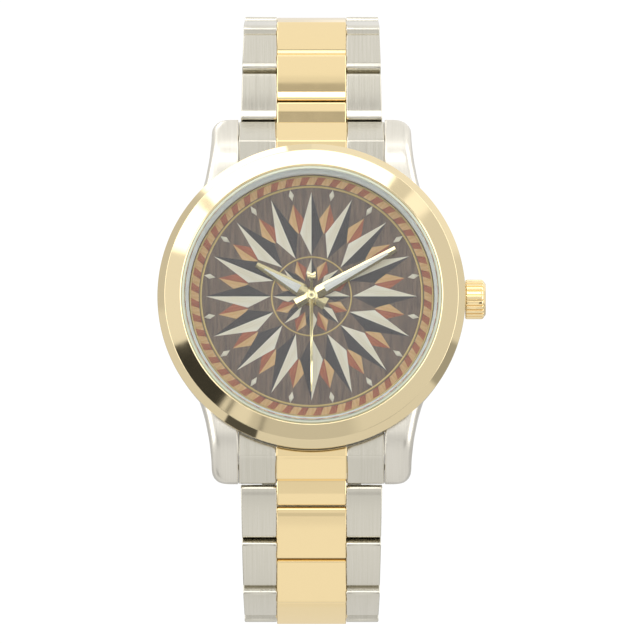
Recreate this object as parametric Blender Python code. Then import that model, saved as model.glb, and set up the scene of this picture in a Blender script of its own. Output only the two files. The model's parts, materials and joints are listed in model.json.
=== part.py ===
"""A round analogue wristwatch with a two-tone link bracelet closed on a folding clasp.

Metres, +Z towards 12 o'clock, +X towards the crown, and the dial looks along -Y.
The origin is the centre of the case back's flat outer face.
"""

import math

import bpy
import numpy as np
from mathutils.geometry import tessellate_polygon

MM = 0.001

# head: distances from the axis, and y of each face
CASE_RADIUS = 20.7 * MM
CASE_WALL = 2.95 * MM
BACK_SEAT_WIDTH = 0.55 * MM
BEZEL_OVERHANG = 0.3 * MM
BEZEL_FLANK = 1.0 * MM
CASE_BORE = CASE_RADIUS - CASE_WALL
CASE_BACK_RADIUS = CASE_BORE + BACK_SEAT_WIDTH
BEZEL_RADIUS = CASE_RADIUS + BEZEL_OVERHANG
BEZEL_RIDGE_RADIUS = BEZEL_RADIUS - BEZEL_FLANK
BEZEL_BORE = CASE_BORE - 0.07 * MM
DIAL_RADIUS = CASE_BORE - 0.25 * MM
VISIBLE_DIAL_RADIUS = CASE_BORE - 1.05 * MM
CRYSTAL_RADIUS = CASE_BORE - 0.45 * MM
FACE_GAP = 0.1 * MM
CASE_BACK_TOP = -1.0 * MM
CASE_BOTTOM = -0.5 * MM
CASE_TOP = -6.8 * MM
BEZEL_OUTER_EDGE = -7.3 * MM
BEZEL_RIDGE = -8.5 * MM
BEZEL_INNER_EDGE = -9.0 * MM
DIAL_FACE = -6.5 * MM
DIAL_THICKNESS = 0.4 * MM
CRYSTAL_BACK = -8.1 * MM
CRYSTAL_FACE = -9.3 * MM

# lugs and spring bars
LUG_WIDTH = 20.0 * MM
LUG_THICKNESS = 3.6 * MM
LUG_REACH = 4.3 * MM
LUG_TIP = CASE_RADIUS + LUG_REACH
LUG_OUTER = LUG_WIDTH / 2 + LUG_THICKNESS
SPRING_BAR_Y = -1.25 * MM
SPRING_BAR_Z = LUG_TIP - 2.3 * MM
SPRING_BAR_RADIUS = 0.7 * MM
SPRING_BAR_TIP_RADIUS = 0.4 * MM
SPRING_BAR_TIP_LENGTH = 1.1 * MM

# crown and stem
CROWN_Y = -4.1 * MM
CROWN_RADIUS = 2.7 * MM
CROWN_LENGTH = 2.8 * MM
CROWN_INNER = CASE_RADIUS + 0.25 * MM
CROWN_OUTER = CROWN_INNER + CROWN_LENGTH
CROWN_RIDGES = 24
TUBE_RADIUS = 1.2 * MM
STEM_RADIUS = 0.45 * MM

# movement
MODULE_RADIUS = 11.5 * MM
MODULE_BACK = -1.7 * MM
MODULE_TOP = -4.6 * MM
LEVER_X = MODULE_RADIUS + 2.1 * MM
BATTERY_RADIUS = 4.75 * MM
BATTERY_OFFSET = 5.6 * MM
GEAR_DISTANCE = 3.6 * MM
GEAR_PHASE = -90.0
LOW_WHEEL = (MODULE_TOP - 0.45 * MM, MODULE_TOP - 0.15 * MM)
HIGH_WHEEL = (MODULE_TOP - 1.05 * MM, MODULE_TOP - 0.6 * MM)
CANNON_TEETH = 12
MINUTE_WHEEL_TEETH = 36
PINION_TEETH = 10
HOUR_WHEEL_TEETH = 40

# hands: tip and tail from the axis, and the time they show
HOUR_TIP = 8.65 * MM
MINUTE_TIP = 13.15 * MM
SECOND_TIP = 13.3 * MM
HOUR_ANGLE = 300.0
MINUTE_ANGLE = 60.8
SECOND_ANGLE = 180.0
HOUR_FRONT = -7.1 * MM
MINUTE_FRONT = -7.5 * MM
SECOND_FRONT = -7.95 * MM
HAND_THICKNESS = 0.18 * MM
HOUR_PIPE = 0.86 * MM
MINUTE_PIPE = 0.62 * MM
SECOND_PIPE = 0.2 * MM

# bracelet: the first pin, then each row's slope away from the dial plane
LINK_THICKNESS = 2.8 * MM
HALF = LINK_THICKNESS / 2
LINK_PITCH = 7.25 * MM
LINK_GAP = 0.12 * MM
LINK_ROUND = 1.2 * MM
SEAM_DEPTH = 0.5 * MM
SIDE_GAP = 0.1 * MM
CENTRE_WIDTH = 9.45 * MM
FIRST_ROW_WIDTH = LUG_WIDTH - 0.7 * MM
LAST_ROW_WIDTH = 17.0 * MM
PIN_RADIUS = 0.6 * MM
PIN_BORE = 0.67 * MM
FIRST_PIN_Y = 0.2 * MM
FIRST_PIN_Z = LUG_TIP + 1.3 * MM
END_LINK_SLOPE = 8.0
BRIDGE_TOP = -2.25 * MM
BRIDGE_EDGE = FIRST_PIN_Z - 2.55 * MM
ROW_SLOPES = (18.0, 42.0, 72.0, 101.0, 128.0, 149.0, 165.0)

# clasp
CLASP_CHORD = 42.0 * MM
CLASP_RISE = 1.6 * MM
CLASP_RADIUS = CLASP_CHORD**2 / (8 * CLASP_RISE) + CLASP_RISE / 2
CLASP_LENGTH = 2 * CLASP_RADIUS * math.asin(CLASP_CHORD / 2 / CLASP_RADIUS)
COVER_HINGE = (CLASP_LENGTH - 4.2 * MM, 0.85 * MM)
BLADE_HINGE = (4.7 * MM, 0.15 * MM)
OUTER_BLADE = (0.45 * MM, 1.25 * MM)
INNER_BLADE = (-0.85 * MM, -0.05 * MM)
COVER_WIDTH = 17.2 * MM
BLADE_WIDTH = 13.8 * MM

ROUND = 64
SMALL_ROUND = 12


# Plain building blocks


def clear_scene():
    for old in list(bpy.data.objects):
        bpy.data.objects.remove(old, do_unlink=True)


def material(name, colour, metallic, roughness, alpha=1.0):
    made = bpy.data.materials.new(name)
    made.use_nodes = True
    shader = made.node_tree.nodes["Principled BSDF"]
    shader.inputs["Base Color"].default_value = (*colour, 1.0)
    shader.inputs["Metallic"].default_value = metallic
    shader.inputs["Roughness"].default_value = roughness
    shader.inputs["Alpha"].default_value = alpha
    made.diffuse_color = (*colour, alpha)
    made.metallic = metallic
    made.roughness = roughness
    return made


def make(name, shape, kind, location=(0, 0, 0), rotation=(0, 0, 0), parent=None, shown=True):
    """One object from (points, faces), with its own copy of the material."""
    points, faces = shape
    mesh = bpy.data.meshes.new(name)
    mesh.from_pydata([tuple(p) for p in points], [], [tuple(f) for f in faces])
    mesh.validate()
    made = bpy.data.objects.new(name, mesh)
    made.location = location
    made.rotation_euler = rotation
    made.parent = parent
    bpy.context.scene.collection.objects.link(made)
    if shown:
        mesh.materials.append(material(name, *KINDS[kind]))
        mesh.shade_smooth()
        mesh.set_sharp_from_angle(angle=math.radians(30))
    else:
        made.hide_render = True
        made.display_type = "WIRE"
    return made


def combine(target, helper, operation):
    """Cut, join or intersect target with a hidden helper."""
    step = target.modifiers.new(helper.name, "BOOLEAN")
    step.object = helper
    step.operation = operation
    step.solver = "EXACT"
    helper.parent = target.parent
    helper.hide_render = True
    helper.display_type = "WIRE"


def cut(target, helper):
    combine(target, helper, "DIFFERENCE")


def join(target, helper):
    combine(target, helper, "UNION")


def area(loop):
    a = np.asarray(loop)
    b = np.roll(a, -1, 0)
    return float((a[:, 0] * b[:, 1] - b[:, 0] * a[:, 1]).sum() / 2)


def turned(loop, positive):
    """The loop in the given turning sense."""
    return list(loop) if (area(loop) > 0) == positive else list(reversed(loop))


def circle(cx, cy, radius, count=SMALL_ROUND, phase=0.0):
    angles = phase + np.arange(count) * 2 * math.pi / count
    return [(cx + radius * math.cos(a), cy + radius * math.sin(a)) for a in angles]


def arc(cx, cy, radius, start, end, count):
    """Points on an arc, angles in degrees, both ends included."""
    angles = np.radians(np.linspace(start, end, count))
    return [(cx + radius * math.cos(a), cy + radius * math.sin(a)) for a in angles]


def hull(points):
    """Convex outline round the points."""
    ordered = sorted(set((round(p[0], 9), round(p[1], 9)) for p in points))

    def half(seq):
        out = []
        for p in seq:
            while len(out) > 1:
                (ax, ay), (bx, by) = out[-2], out[-1]
                if (bx - ax) * (p[1] - ay) - (by - ay) * (p[0] - ax) > 1e-14:
                    break
                out.pop()
            out.append(p)
        return out[:-1]

    return half(ordered) + half(ordered[::-1])


def cap(loops):
    """Triangles that fill an outline with holes, as indices into all the loops' points."""
    flat = [[(x / MM, y / MM, 0.0) for x, y in loop] for loop in loops]
    points = [p for loop in flat for p in loop]
    faces = []
    for a, b, c in tessellate_polygon(flat):
        (ax, ay, _), (bx, by, _), (cx, cy, _) = points[a], points[b], points[c]
        twice = (bx - ax) * (cy - ay) - (by - ay) * (cx - ax)
        faces.append((a, b, c) if twice > 0 else (a, c, b))
    return faces


def prism(outline, holes, low, high, place):
    """A straight solid from a flat outline with holes. place(u, v, h) gives the 3D point, and
    (u, v, h) is right-handed."""
    loops = [turned(outline, True)] + [turned(h, False) for h in holes]
    flat = [p for loop in loops for p in loop]
    count = len(flat)
    points = [place(u, v, low) for u, v in flat] + [place(u, v, high) for u, v in flat]
    faces = []
    for a, b, c in cap(loops):
        faces.append((a, c, b))
        faces.append((a + count, b + count, c + count))
    start = 0
    for loop in loops:
        n = len(loop)
        for i in range(n):
            a, b = start + i, start + (i + 1) % n
            faces.append((a, b, b + count, a + count))
        start += n
    return points, faces


def across(outline, holes, x0, x1):
    """A prism along X. The outline is in (y, z)."""
    return prism(outline, holes, x0, x1, lambda u, v, h: (h, u, v))


def deep(outline, holes, y0, y1):
    """A prism along Y, from y0 (front) to y1. The outline is in (x, z)."""
    return prism(outline, holes, -y1, -y0, lambda u, v, h: (u, -h, v))


def bar_x(y, z, radius, x0, x1, count=SMALL_ROUND):
    return across(circle(y, z, radius, count), [], x0, x1)


def turn_y(profile, steps=ROUND):
    """A closed (radius, y) profile turned round the Y axis. Radius 0 is a point on the axis."""
    profile = turned(profile, False)
    points, rows = [], []
    for r, y in profile:
        if r < 1e-9:
            rows.append([len(points)] * steps)
            points.append((0.0, y, 0.0))
            continue
        rows.append(list(range(len(points), len(points) + steps)))
        for k in range(steps):
            a = 2 * math.pi * k / steps
            points.append((r * math.sin(a), y, r * math.cos(a)))
    faces = []
    for first, second in zip(rows, rows[1:] + rows[:1]):
        for k in range(steps):
            m = (k + 1) % steps
            corners = [first[k], second[k], second[m], first[m]]
            face = [c for i, c in enumerate(corners) if c != corners[i - 1]]
            if len(face) > 2:
                faces.append(face)
    return points, faces


def to_x(shape):
    """A shape turned round Y, laid along X instead: y becomes x."""
    points, faces = shape
    return [(y, -x, z) for x, y, z in points], faces


def ladder(bar, pins, inner, outer, narrowing, start, pin_radius):
    """Two bars joined by round pins, as one closed surface. The bar outline is in (y, z), and its
    outer faces draw in by `narrowing` for each metre of z past `start`."""
    loop = turned(bar, True)
    holes = [turned(circle(y, z, pin_radius), False) for y, z in pins]
    rim, drilled = cap([loop]), cap([loop] + holes)
    points, faces = [], []
    inside = {}
    for side in (-1, 1):
        base = len(points)
        points += [(side * (outer - narrowing * (z - start)), y, z) for y, z in loop]
        inside[side] = len(points)
        points += [(side * inner, y, z) for y, z in loop]
        for hole in holes:
            points += [(side * inner, y, z) for y, z in hole]
        n = len(loop)
        for a, b, c in rim:
            out = (a, b, c) if side > 0 else (a, c, b)
            faces.append(tuple(base + i for i in out))
        for a, b, c in drilled:
            out = (a, c, b) if side > 0 else (a, b, c)
            faces.append(tuple(inside[side] + i for i in out))
        for i in range(n):
            m = (i + 1) % n
            quad = (base + i, inside[side] + i, inside[side] + m, base + m)
            faces.append(quad if side > 0 else quad[::-1])
    at = len(loop)
    for hole in holes:
        n = len(hole)
        for i in range(n):
            m = (i + 1) % n
            left, right = inside[-1] + at, inside[1] + at
            faces.append((left + i, right + i, right + m, left + m))
        at += n
    return points, faces


KINDS = {
    "steel": ((0.60, 0.59, 0.56), 1.0, 0.32),
    "gold": ((0.80, 0.63, 0.32), 1.0, 0.16),
    "glass": ((0.95, 0.97, 0.97), 0.0, 0.02, 0.25),
    "rubber": ((0.05, 0.05, 0.05), 0.0, 0.8),
    "silver": ((0.78, 0.80, 0.76), 1.0, 0.4),
    "dial": ((0.24, 0.17, 0.13), 0.0, 0.5),
    "plastic": ((0.86, 0.86, 0.82), 0.0, 0.5),
    "brass": ((0.75, 0.60, 0.30), 1.0, 0.35),
}


# Head


def case_back():
    profile = [
        (0, 0),
        (CASE_BACK_RADIUS - 0.5 * MM, 0),
        (CASE_BACK_RADIUS, -0.4 * MM),
        (CASE_BACK_RADIUS, CASE_BACK_TOP),
        (CASE_BORE - 0.25 * MM, CASE_BACK_TOP),
        (CASE_BORE - 0.25 * MM, MODULE_BACK + 0.2 * MM),
        (CASE_BORE - 1.3 * MM, MODULE_BACK + 0.2 * MM),
        (CASE_BORE - 1.3 * MM, CASE_BACK_TOP),
        (0, CASE_BACK_TOP),
    ]
    make("case_back", turn_y(profile), "steel")


def case_back_gasket():
    low, high = CASE_BACK_TOP - 0.05 * MM, CASE_BACK_TOP - 0.25 * MM
    inner, outer = CASE_BORE + 0.08 * MM, CASE_BACK_RADIUS - 0.05 * MM
    profile = [(inner, low), (outer, low), (outer, high), (inner, high)]
    make("case_back_gasket", turn_y(profile), "rubber")


def lug_outline(sx, sz):
    """One lug from the front, starting inside the case wall."""
    half = LUG_WIDTH / 2
    base = math.sqrt((CASE_BACK_RADIUS + 0.2 * MM) ** 2 - half**2)
    wide = LUG_OUTER + 1.9 * MM
    points = [
        (half, base + 0.5 * MM),
        (half, LUG_TIP - 0.3 * MM),
        (half + 0.3 * MM, LUG_TIP),
    ]
    points += arc(LUG_OUTER - 1.9 * MM, LUG_TIP - 1.9 * MM, 1.9 * MM, 85, 8, 6)
    points += [
        (LUG_OUTER + 0.05 * MM, LUG_TIP - 3.4 * MM),
        (LUG_OUTER + 0.3 * MM, LUG_TIP - 6.0 * MM),
        (LUG_OUTER + 0.85 * MM, LUG_TIP - 8.8 * MM),
        (wide, math.sqrt(CASE_RADIUS**2 - wide**2) - 0.4 * MM),
        (wide - 1.3 * MM, base - 3.2 * MM),
    ]
    return [(sx * x, sz * z) for x, z in points]


def lug_side(sz):
    """A lug pair from the side, (y, z)."""
    points = [
        (CASE_TOP + 0.15 * MM, LUG_TIP - 17.0 * MM),
        (CASE_TOP + 0.15 * MM, LUG_TIP - 5.8 * MM),
        (-6.2 * MM, LUG_TIP - 4.4 * MM),
        (-5.1 * MM, LUG_TIP - 2.6 * MM),
        (-3.9 * MM, LUG_TIP - 1.0 * MM),
        (-3.0 * MM, LUG_TIP - 0.2 * MM),
        (-2.3 * MM, LUG_TIP + 0.1 * MM),
        (-0.7 * MM, LUG_TIP + 0.1 * MM),
        (-0.25 * MM, LUG_TIP - 0.5 * MM),
        (-0.3 * MM, LUG_TIP - 3.0 * MM),
        (CASE_BOTTOM, LUG_TIP - 6.0 * MM),
        (CASE_BOTTOM - 0.1 * MM, LUG_TIP - 17.0 * MM),
    ]
    return [(y, sz * z) for y, z in points]


def case_middle():
    step = CASE_BACK_RADIUS + 0.2 * MM
    ledge = CASE_BACK_TOP - 0.3 * MM
    profile = [
        (step, CASE_BOTTOM),
        (CASE_RADIUS - 1.0 * MM, CASE_BOTTOM),
        (CASE_RADIUS - 0.2 * MM, CASE_BOTTOM - 0.8 * MM),
        (CASE_RADIUS, CASE_BOTTOM - 2.0 * MM),
        (CASE_RADIUS, CASE_TOP),
        (CASE_BORE, CASE_TOP),
        (CASE_BORE, ledge),
        (step, ledge),
    ]
    body = make("case_middle", turn_y(profile), "steel")
    for sx in (-1, 1):
        for sz in (-1, 1):
            tag = f"{'right' if sx > 0 else 'left'}_{'top' if sz > 0 else 'bottom'}"
            lug = make(
                f"lug_{tag}", deep(lug_outline(sx, sz), [], CASE_TOP - MM, MM), "steel", shown=False
            )
            side = make(
                f"lug_side_{tag}",
                across(lug_side(sz), [], -CASE_RADIUS, CASE_RADIUS),
                "steel",
                shown=False,
            )
            combine(lug, side, "INTERSECT")
            join(body, lug)
    for sz in (-1, 1):
        reach = LUG_WIDTH / 2 + SPRING_BAR_TIP_LENGTH + 0.1 * MM
        radius = SPRING_BAR_TIP_RADIUS + 0.06 * MM
        hole = bar_x(SPRING_BAR_Y, sz * SPRING_BAR_Z, radius, -reach, reach)
        cut(body, make(f"lug_hole_{'12' if sz > 0 else '6'}", hole, "steel", shown=False))
    tube = bar_x(CROWN_Y, 0, TUBE_RADIUS + 0.05 * MM, CASE_BORE - 2 * MM, CASE_RADIUS + MM, 24)
    cut(body, make("tube_hole", tube, "steel", shown=False))


def crown_tube():
    """The steel tube that the stem slides in."""
    inner, outer = STEM_RADIUS + 0.12 * MM, TUBE_RADIUS
    profile = [
        (inner, CASE_BORE + 0.15 * MM),
        (outer, CASE_BORE + 0.15 * MM),
        (outer, CROWN_INNER + 0.32 * CROWN_LENGTH),
        (inner, CROWN_INNER + 0.32 * CROWN_LENGTH),
    ]
    make("crown_tube", to_x(turn_y(profile, 24)), "steel", location=(0, CROWN_Y, 0))


def bezel():
    low = CASE_TOP - FACE_GAP
    profile = [
        (BEZEL_BORE, low),
        (BEZEL_RADIUS, low),
        (BEZEL_RADIUS, BEZEL_OUTER_EDGE),
        (BEZEL_RIDGE_RADIUS, BEZEL_RIDGE),
        (BEZEL_BORE + 0.25 * MM, BEZEL_INNER_EDGE),
        (BEZEL_BORE, BEZEL_INNER_EDGE + 0.15 * MM),
    ]
    make("bezel", turn_y(profile), "gold")


def crystal():
    bevel = 0.45 * MM
    profile = [
        (0, CRYSTAL_BACK),
        (CRYSTAL_RADIUS, CRYSTAL_BACK),
        (CRYSTAL_RADIUS, CRYSTAL_FACE + bevel),
        (CRYSTAL_RADIUS - bevel, CRYSTAL_FACE),
        (0, CRYSTAL_FACE),
    ]
    make("crystal", turn_y(profile), "glass")


def crystal_gasket():
    inner, outer = CRYSTAL_RADIUS + 0.04 * MM, BEZEL_BORE - 0.04 * MM
    top = BEZEL_INNER_EDGE + 0.2 * MM
    profile = [(inner, CRYSTAL_BACK), (outer, CRYSTAL_BACK), (outer, top), (inner, top)]
    make("crystal_gasket", turn_y(profile), "plastic")


def flange_ring():
    """The sloping ring between dial and crystal."""
    low, high = DIAL_FACE - 0.05 * MM, CRYSTAL_BACK + 0.1 * MM
    outer = CASE_BORE - 0.15 * MM
    profile = [
        (VISIBLE_DIAL_RADIUS, low),
        (outer, low),
        (outer, high),
        (VISIBLE_DIAL_RADIUS + 0.45 * MM, high),
    ]
    make("flange_ring", turn_y(profile), "silver")


def dial():
    hole = 1.35 * MM
    back = DIAL_FACE + DIAL_THICKNESS
    profile = [(hole, back), (DIAL_RADIUS, back), (DIAL_RADIUS, DIAL_FACE), (hole, DIAL_FACE)]
    make("dial", turn_y(profile), "dial")


def movement_holder():
    inner, outer = MODULE_RADIUS + 0.2 * MM, CASE_BORE - 0.15 * MM
    low, high = MODULE_BACK, DIAL_FACE + DIAL_THICKNESS + 0.1 * MM
    profile = [(inner, low), (outer, low), (outer, high), (inner, high)]
    ring = make("movement_holder", turn_y(profile, 64), "plastic")
    window = across(
        [(CROWN_Y - 2.6 * MM, -2.2 * MM), (CROWN_Y + 1.3 * MM, -2.2 * MM),
         (CROWN_Y + 1.3 * MM, 2.2 * MM), (CROWN_Y - 2.6 * MM, 2.2 * MM)],
        [], MODULE_RADIUS - 1.5 * MM, CASE_BORE + MM,
    )
    cut(ring, make("stem_window", window, "steel", shown=False))


def movement_module():
    """The closed quartz module, with the battery's pocket, the centre tube and a wheel post."""
    tube = MODULE_TOP - 2.0 * MM
    profile = [
        (0, MODULE_BACK),
        (MODULE_RADIUS, MODULE_BACK),
        (MODULE_RADIUS, MODULE_TOP),
        (0.42 * MM, MODULE_TOP),
        (0.42 * MM, tube),
        (0.27 * MM, tube),
        (0.27 * MM, MODULE_TOP + 0.8 * MM),
        (0, MODULE_TOP + 0.8 * MM),
    ]
    body = make("movement_module", turn_y(profile, 48), "brass")
    pocket = deep(
        circle(0, -BATTERY_OFFSET, BATTERY_RADIUS + 0.15 * MM, 40), [],
        MODULE_BACK - 2.2 * MM, 0.5 * MM,
    )
    cut(body, make("battery_pocket", pocket, "steel", shown=False))
    stem = bar_x(
        CROWN_Y, 0, STEM_RADIUS + 0.1 * MM, MODULE_RADIUS - 5 * MM, MODULE_RADIUS + MM
    )
    cut(body, make("stem_hole", stem, "steel", shown=False))
    post = deep(circle(-GEAR_DISTANCE, 0, 0.3 * MM), [], MODULE_TOP - 1.2 * MM, MODULE_TOP + 0.5 * MM)
    join(body, make("wheel_post", post, "steel", shown=False))


def battery():
    shape = deep(
        circle(0, -BATTERY_OFFSET, BATTERY_RADIUS, 40), [],
        MODULE_BACK - 2.1 * MM, MODULE_BACK,
    )
    make("battery", shape, "steel")


# Hands and the wheels under the dial


def gear_outline(teeth, centre_distance, mate, angle=0.0):
    """Thin teeth with plenty of play, as (x, z) points. angle is the first tooth's, in degrees."""
    pitch_radius = centre_distance * teeth / (teeth + mate)
    size = 2 * pitch_radius / teeth
    tip, root = pitch_radius + 0.75 * size, pitch_radius - 1.0 * size
    points = []
    for k in range(teeth):
        centre = math.radians(angle) + 2 * math.pi * k / teeth
        pitch = 2 * math.pi / teeth
        for radius, share in ((root, -0.24), (tip, -0.09), (tip, 0.09), (root, 0.24)):
            a = centre + share * pitch
            points.append((radius * math.sin(a), radius * math.cos(a)))
    return points


def round_off(shape_list, name, kind, **placing):
    """Joins several shapes that overlap into one object."""
    base = make(name, shape_list[0], kind, **placing)
    for number, shape in enumerate(shape_list[1:]):
        helper = make(f"{name}_add{number}", shape, kind, shown=False, **placing)
        join(base, helper)
    return base


def clock_turn(angle):
    return (0, math.radians(angle), 0)


def hand_outline(tip, tail, widest, end, hub):
    """A tapering hand pointing at 12, with a square tip, a round hub and a flared tail."""
    half = widest / 2
    point = [(-end / 2, tip), (end / 2, tip)]
    right = [(half, hub * 1.4)]
    low = [(half * 0.85, -tail), (-half * 0.85, -tail)]
    angle = math.degrees(math.asin(min(0.95, half / hub)))
    right_hub = arc(0, 0, hub, 90 - angle, -90 + angle, 7)
    left_hub = [(-x, z) for x, z in reversed(right_hub)]
    return point + right + right_hub + low + left_hub + [(-half, hub * 1.4)]


def hour_hand():
    outline = hand_outline(HOUR_TIP, 2.25 * MM, 2.0 * MM, 0.72 * MM, 1.08 * MM)
    hole = circle(0, 0, HOUR_PIPE + 0.03 * MM, 24)
    shape = deep(outline, [hole], HOUR_FRONT, HOUR_FRONT + HAND_THICKNESS)
    make("hour_hand", shape, "gold", rotation=clock_turn(HOUR_ANGLE))


def minute_hand():
    outline = hand_outline(MINUTE_TIP, 2.4 * MM, 1.7 * MM, 0.84 * MM, 0.9 * MM)
    hole = circle(0, 0, MINUTE_PIPE + 0.03 * MM, 24)
    shape = deep(outline, [hole], MINUTE_FRONT, MINUTE_FRONT + HAND_THICKNESS)
    make("minute_hand", shape, "gold", rotation=clock_turn(MINUTE_ANGLE))


def second_hand():
    thin = 0.22 * MM
    hub = 0.75 * MM
    outline = [
        (-thin, 0.8 * MM),
        (-thin * 0.4, SECOND_TIP),
        (thin * 0.4, SECOND_TIP),
        (thin, 0.8 * MM),
    ]
    outline += arc(0, 0, hub, 70, -76, 8)
    outline += [
        (0.17 * MM, -2.2 * MM),
        (0.57 * MM, -2.25 * MM),
        (0.57 * MM, -3.3 * MM),
        (0, -3.05 * MM),
        (-0.57 * MM, -3.3 * MM),
        (-0.57 * MM, -2.25 * MM),
        (-0.17 * MM, -2.2 * MM),
    ]
    outline += [(-x, z) for x, z in reversed(arc(0, 0, hub, 70, -76, 8))]
    shape = deep(outline, [], SECOND_FRONT, SECOND_FRONT + HAND_THICKNESS)
    make("second_hand", shape, "gold", rotation=clock_turn(SECOND_ANGLE))


def second_arbor():
    back = MODULE_TOP + 0.7 * MM
    shape = deep(circle(0, 0, SECOND_PIPE, 12), [], SECOND_FRONT + HAND_THICKNESS + 0.02 * MM, back)
    make("second_arbor", shape, "steel", rotation=clock_turn(SECOND_ANGLE))


def cannon_pinion():
    """The pinion that carries the minute hand, free on the centre tube."""
    bore = 0.48 * MM
    low = deep(
        gear_outline(CANNON_TEETH, GEAR_DISTANCE, MINUTE_WHEEL_TEETH, GEAR_PHASE),
        [circle(0, 0, (bore + MINUTE_PIPE) / 2)], *LOW_WHEEL,
    )
    profile = [
        (bore, LOW_WHEEL[1] + 0.03 * MM),
        (MINUTE_PIPE, LOW_WHEEL[1] + 0.03 * MM),
        (MINUTE_PIPE, MINUTE_FRONT - 0.1 * MM),
        (bore, MINUTE_FRONT - 0.1 * MM),
    ]
    round_off([turn_y(profile, SMALL_ROUND), low], "cannon_pinion", "steel")


def minute_wheel():
    """The wheel and pinion on the side post that slow the hour hand."""
    wheel = deep(
        gear_outline(MINUTE_WHEEL_TEETH, GEAR_DISTANCE, CANNON_TEETH, 90 + 180 / MINUTE_WHEEL_TEETH),
        [circle(0, 0, 0.45 * MM)], *LOW_WHEEL,
    )
    pinion = deep(
        gear_outline(PINION_TEETH, GEAR_DISTANCE, HOUR_WHEEL_TEETH, 90),
        [circle(0, 0, 0.41 * MM, 12)], HIGH_WHEEL[0], LOW_WHEEL[1] - 0.1 * MM,
    )
    low, high = LOW_WHEEL[1] + 0.03 * MM, HIGH_WHEEL[0] - 0.03 * MM
    profile = [(0.36 * MM, low), (0.5 * MM, low), (0.5 * MM, high), (0.36 * MM, high)]
    hub = turn_y(profile, SMALL_ROUND)
    round_off([hub, wheel, pinion], "minute_wheel", "brass", location=(-GEAR_DISTANCE, 0, 0))


def hour_wheel():
    """The wheel whose pipe carries the hour hand, free on the cannon pinion."""
    bore = MINUTE_PIPE + 0.1 * MM
    wheel = deep(
        gear_outline(HOUR_WHEEL_TEETH, GEAR_DISTANCE, PINION_TEETH, -90 + 180 / HOUR_WHEEL_TEETH),
        [circle(0, 0, (bore + HOUR_PIPE) / 2)], *HIGH_WHEEL,
    )
    profile = [
        (bore, HIGH_WHEEL[1] + 0.03 * MM),
        (HOUR_PIPE, HIGH_WHEEL[1] + 0.03 * MM),
        (HOUR_PIPE, HOUR_FRONT - 0.08 * MM),
        (bore, HOUR_FRONT - 0.08 * MM),
    ]
    round_off([turn_y(profile, SMALL_ROUND), wheel], "hour_wheel", "brass")


# Crown


def crown():
    """The knurled crown, hollow behind so that it passes over its tube."""
    groove = 0.22 * MM
    edge = 0.45 * MM
    length = CROWN_LENGTH
    outline = []
    for k in range(CROWN_RIDGES):
        for share, radius in (
            (-0.3, CROWN_RADIUS),
            (0.3, CROWN_RADIUS),
            (0.42, CROWN_RADIUS - groove),
            (0.58, CROWN_RADIUS - groove),
        ):
            a = 2 * math.pi * (k + share) / CROWN_RIDGES
            outline.append((radius * math.cos(a), radius * math.sin(a)))
    hollow = circle(0, 0, TUBE_RADIUS + 0.2 * MM, 24)
    skirt = across(outline, [hollow], 0, length * 0.5)
    lid = across(outline, [], length * 0.45, length - edge)
    top = [(0, length - edge - 0.1 * MM), (CROWN_RADIUS - 0.25 * MM, length - edge - 0.1 * MM)]
    top += [(CROWN_RADIUS - 0.6 * MM, length), (0, length)]
    round_off(
        [skirt, lid, to_x(turn_y(top, 32))], "crown", "gold", location=(CROWN_INNER, CROWN_Y, 0)
    )


def winding_stem():
    """The stem, fixed in the crown, with two collars that hold the setting lever."""
    profile = [
        (0, MODULE_RADIUS - 2.5 * MM),
        (STEM_RADIUS, MODULE_RADIUS - 2.5 * MM),
        (STEM_RADIUS, LEVER_X - 0.7 * MM),
        (STEM_RADIUS + 0.35 * MM, LEVER_X - 0.7 * MM),
        (STEM_RADIUS + 0.35 * MM, LEVER_X - 0.25 * MM),
        (STEM_RADIUS, LEVER_X - 0.25 * MM),
        (STEM_RADIUS, LEVER_X + 0.25 * MM),
        (STEM_RADIUS + 0.35 * MM, LEVER_X + 0.25 * MM),
        (STEM_RADIUS + 0.35 * MM, LEVER_X + 0.7 * MM),
        (STEM_RADIUS, LEVER_X + 0.7 * MM),
        (STEM_RADIUS, CROWN_INNER + 0.43 * CROWN_LENGTH),
        (0, CROWN_INNER + 0.43 * CROWN_LENGTH),
    ]
    make("winding_stem", to_x(turn_y(profile, SMALL_ROUND)), "steel", location=(0, CROWN_Y, 0))


def setting_lever():
    """A fork on the stem that slides with it between the running and the setting place."""
    inner, outer = STEM_RADIUS + 0.08 * MM, STEM_RADIUS + 0.75 * MM
    fork = arc(0, 0, outer, 0, 180, 9) + [(-outer, -0.7 * MM), (-inner, -0.7 * MM)]
    fork += arc(0, 0, inner, 180, 0, 9) + [(inner, -0.7 * MM), (outer, -0.7 * MM)]
    shape = across(fork, [], -0.17 * MM, 0.17 * MM)
    make("setting_lever", shape, "steel", location=(LEVER_X, CROWN_Y, 0))


# Bracelet

def closed_slopes():
    """Row slopes with a small shared correction, so that the chain ends at the clasp's pin."""
    slopes = np.radians(np.array(ROW_SLOPES))
    for _ in range(30):
        miss = FIRST_PIN_Z + LINK_PITCH * np.cos(slopes).sum() - CLASP_CHORD / 2
        pull = -LINK_PITCH * np.sin(slopes)
        slopes = slopes - pull * miss / (pull @ pull)
    return slopes


def pins(slopes):
    """(y, z) of each row's first pin and of the clasp's pin."""
    y, z = FIRST_PIN_Y, FIRST_PIN_Z
    found = [(y, z)]
    for slope in slopes:
        y += LINK_PITCH * math.sin(slope)
        z += LINK_PITCH * math.cos(slope)
        found.append((y, z))
    return found


def eye_corner(z, towards):
    """The rounded edge at the side that faces the eye, of a link that ends at z."""
    return arc(-HALF + LINK_ROUND, z - towards * LINK_ROUND, LINK_ROUND,
               180, 90 if towards > 0 else 270, 5)


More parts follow.
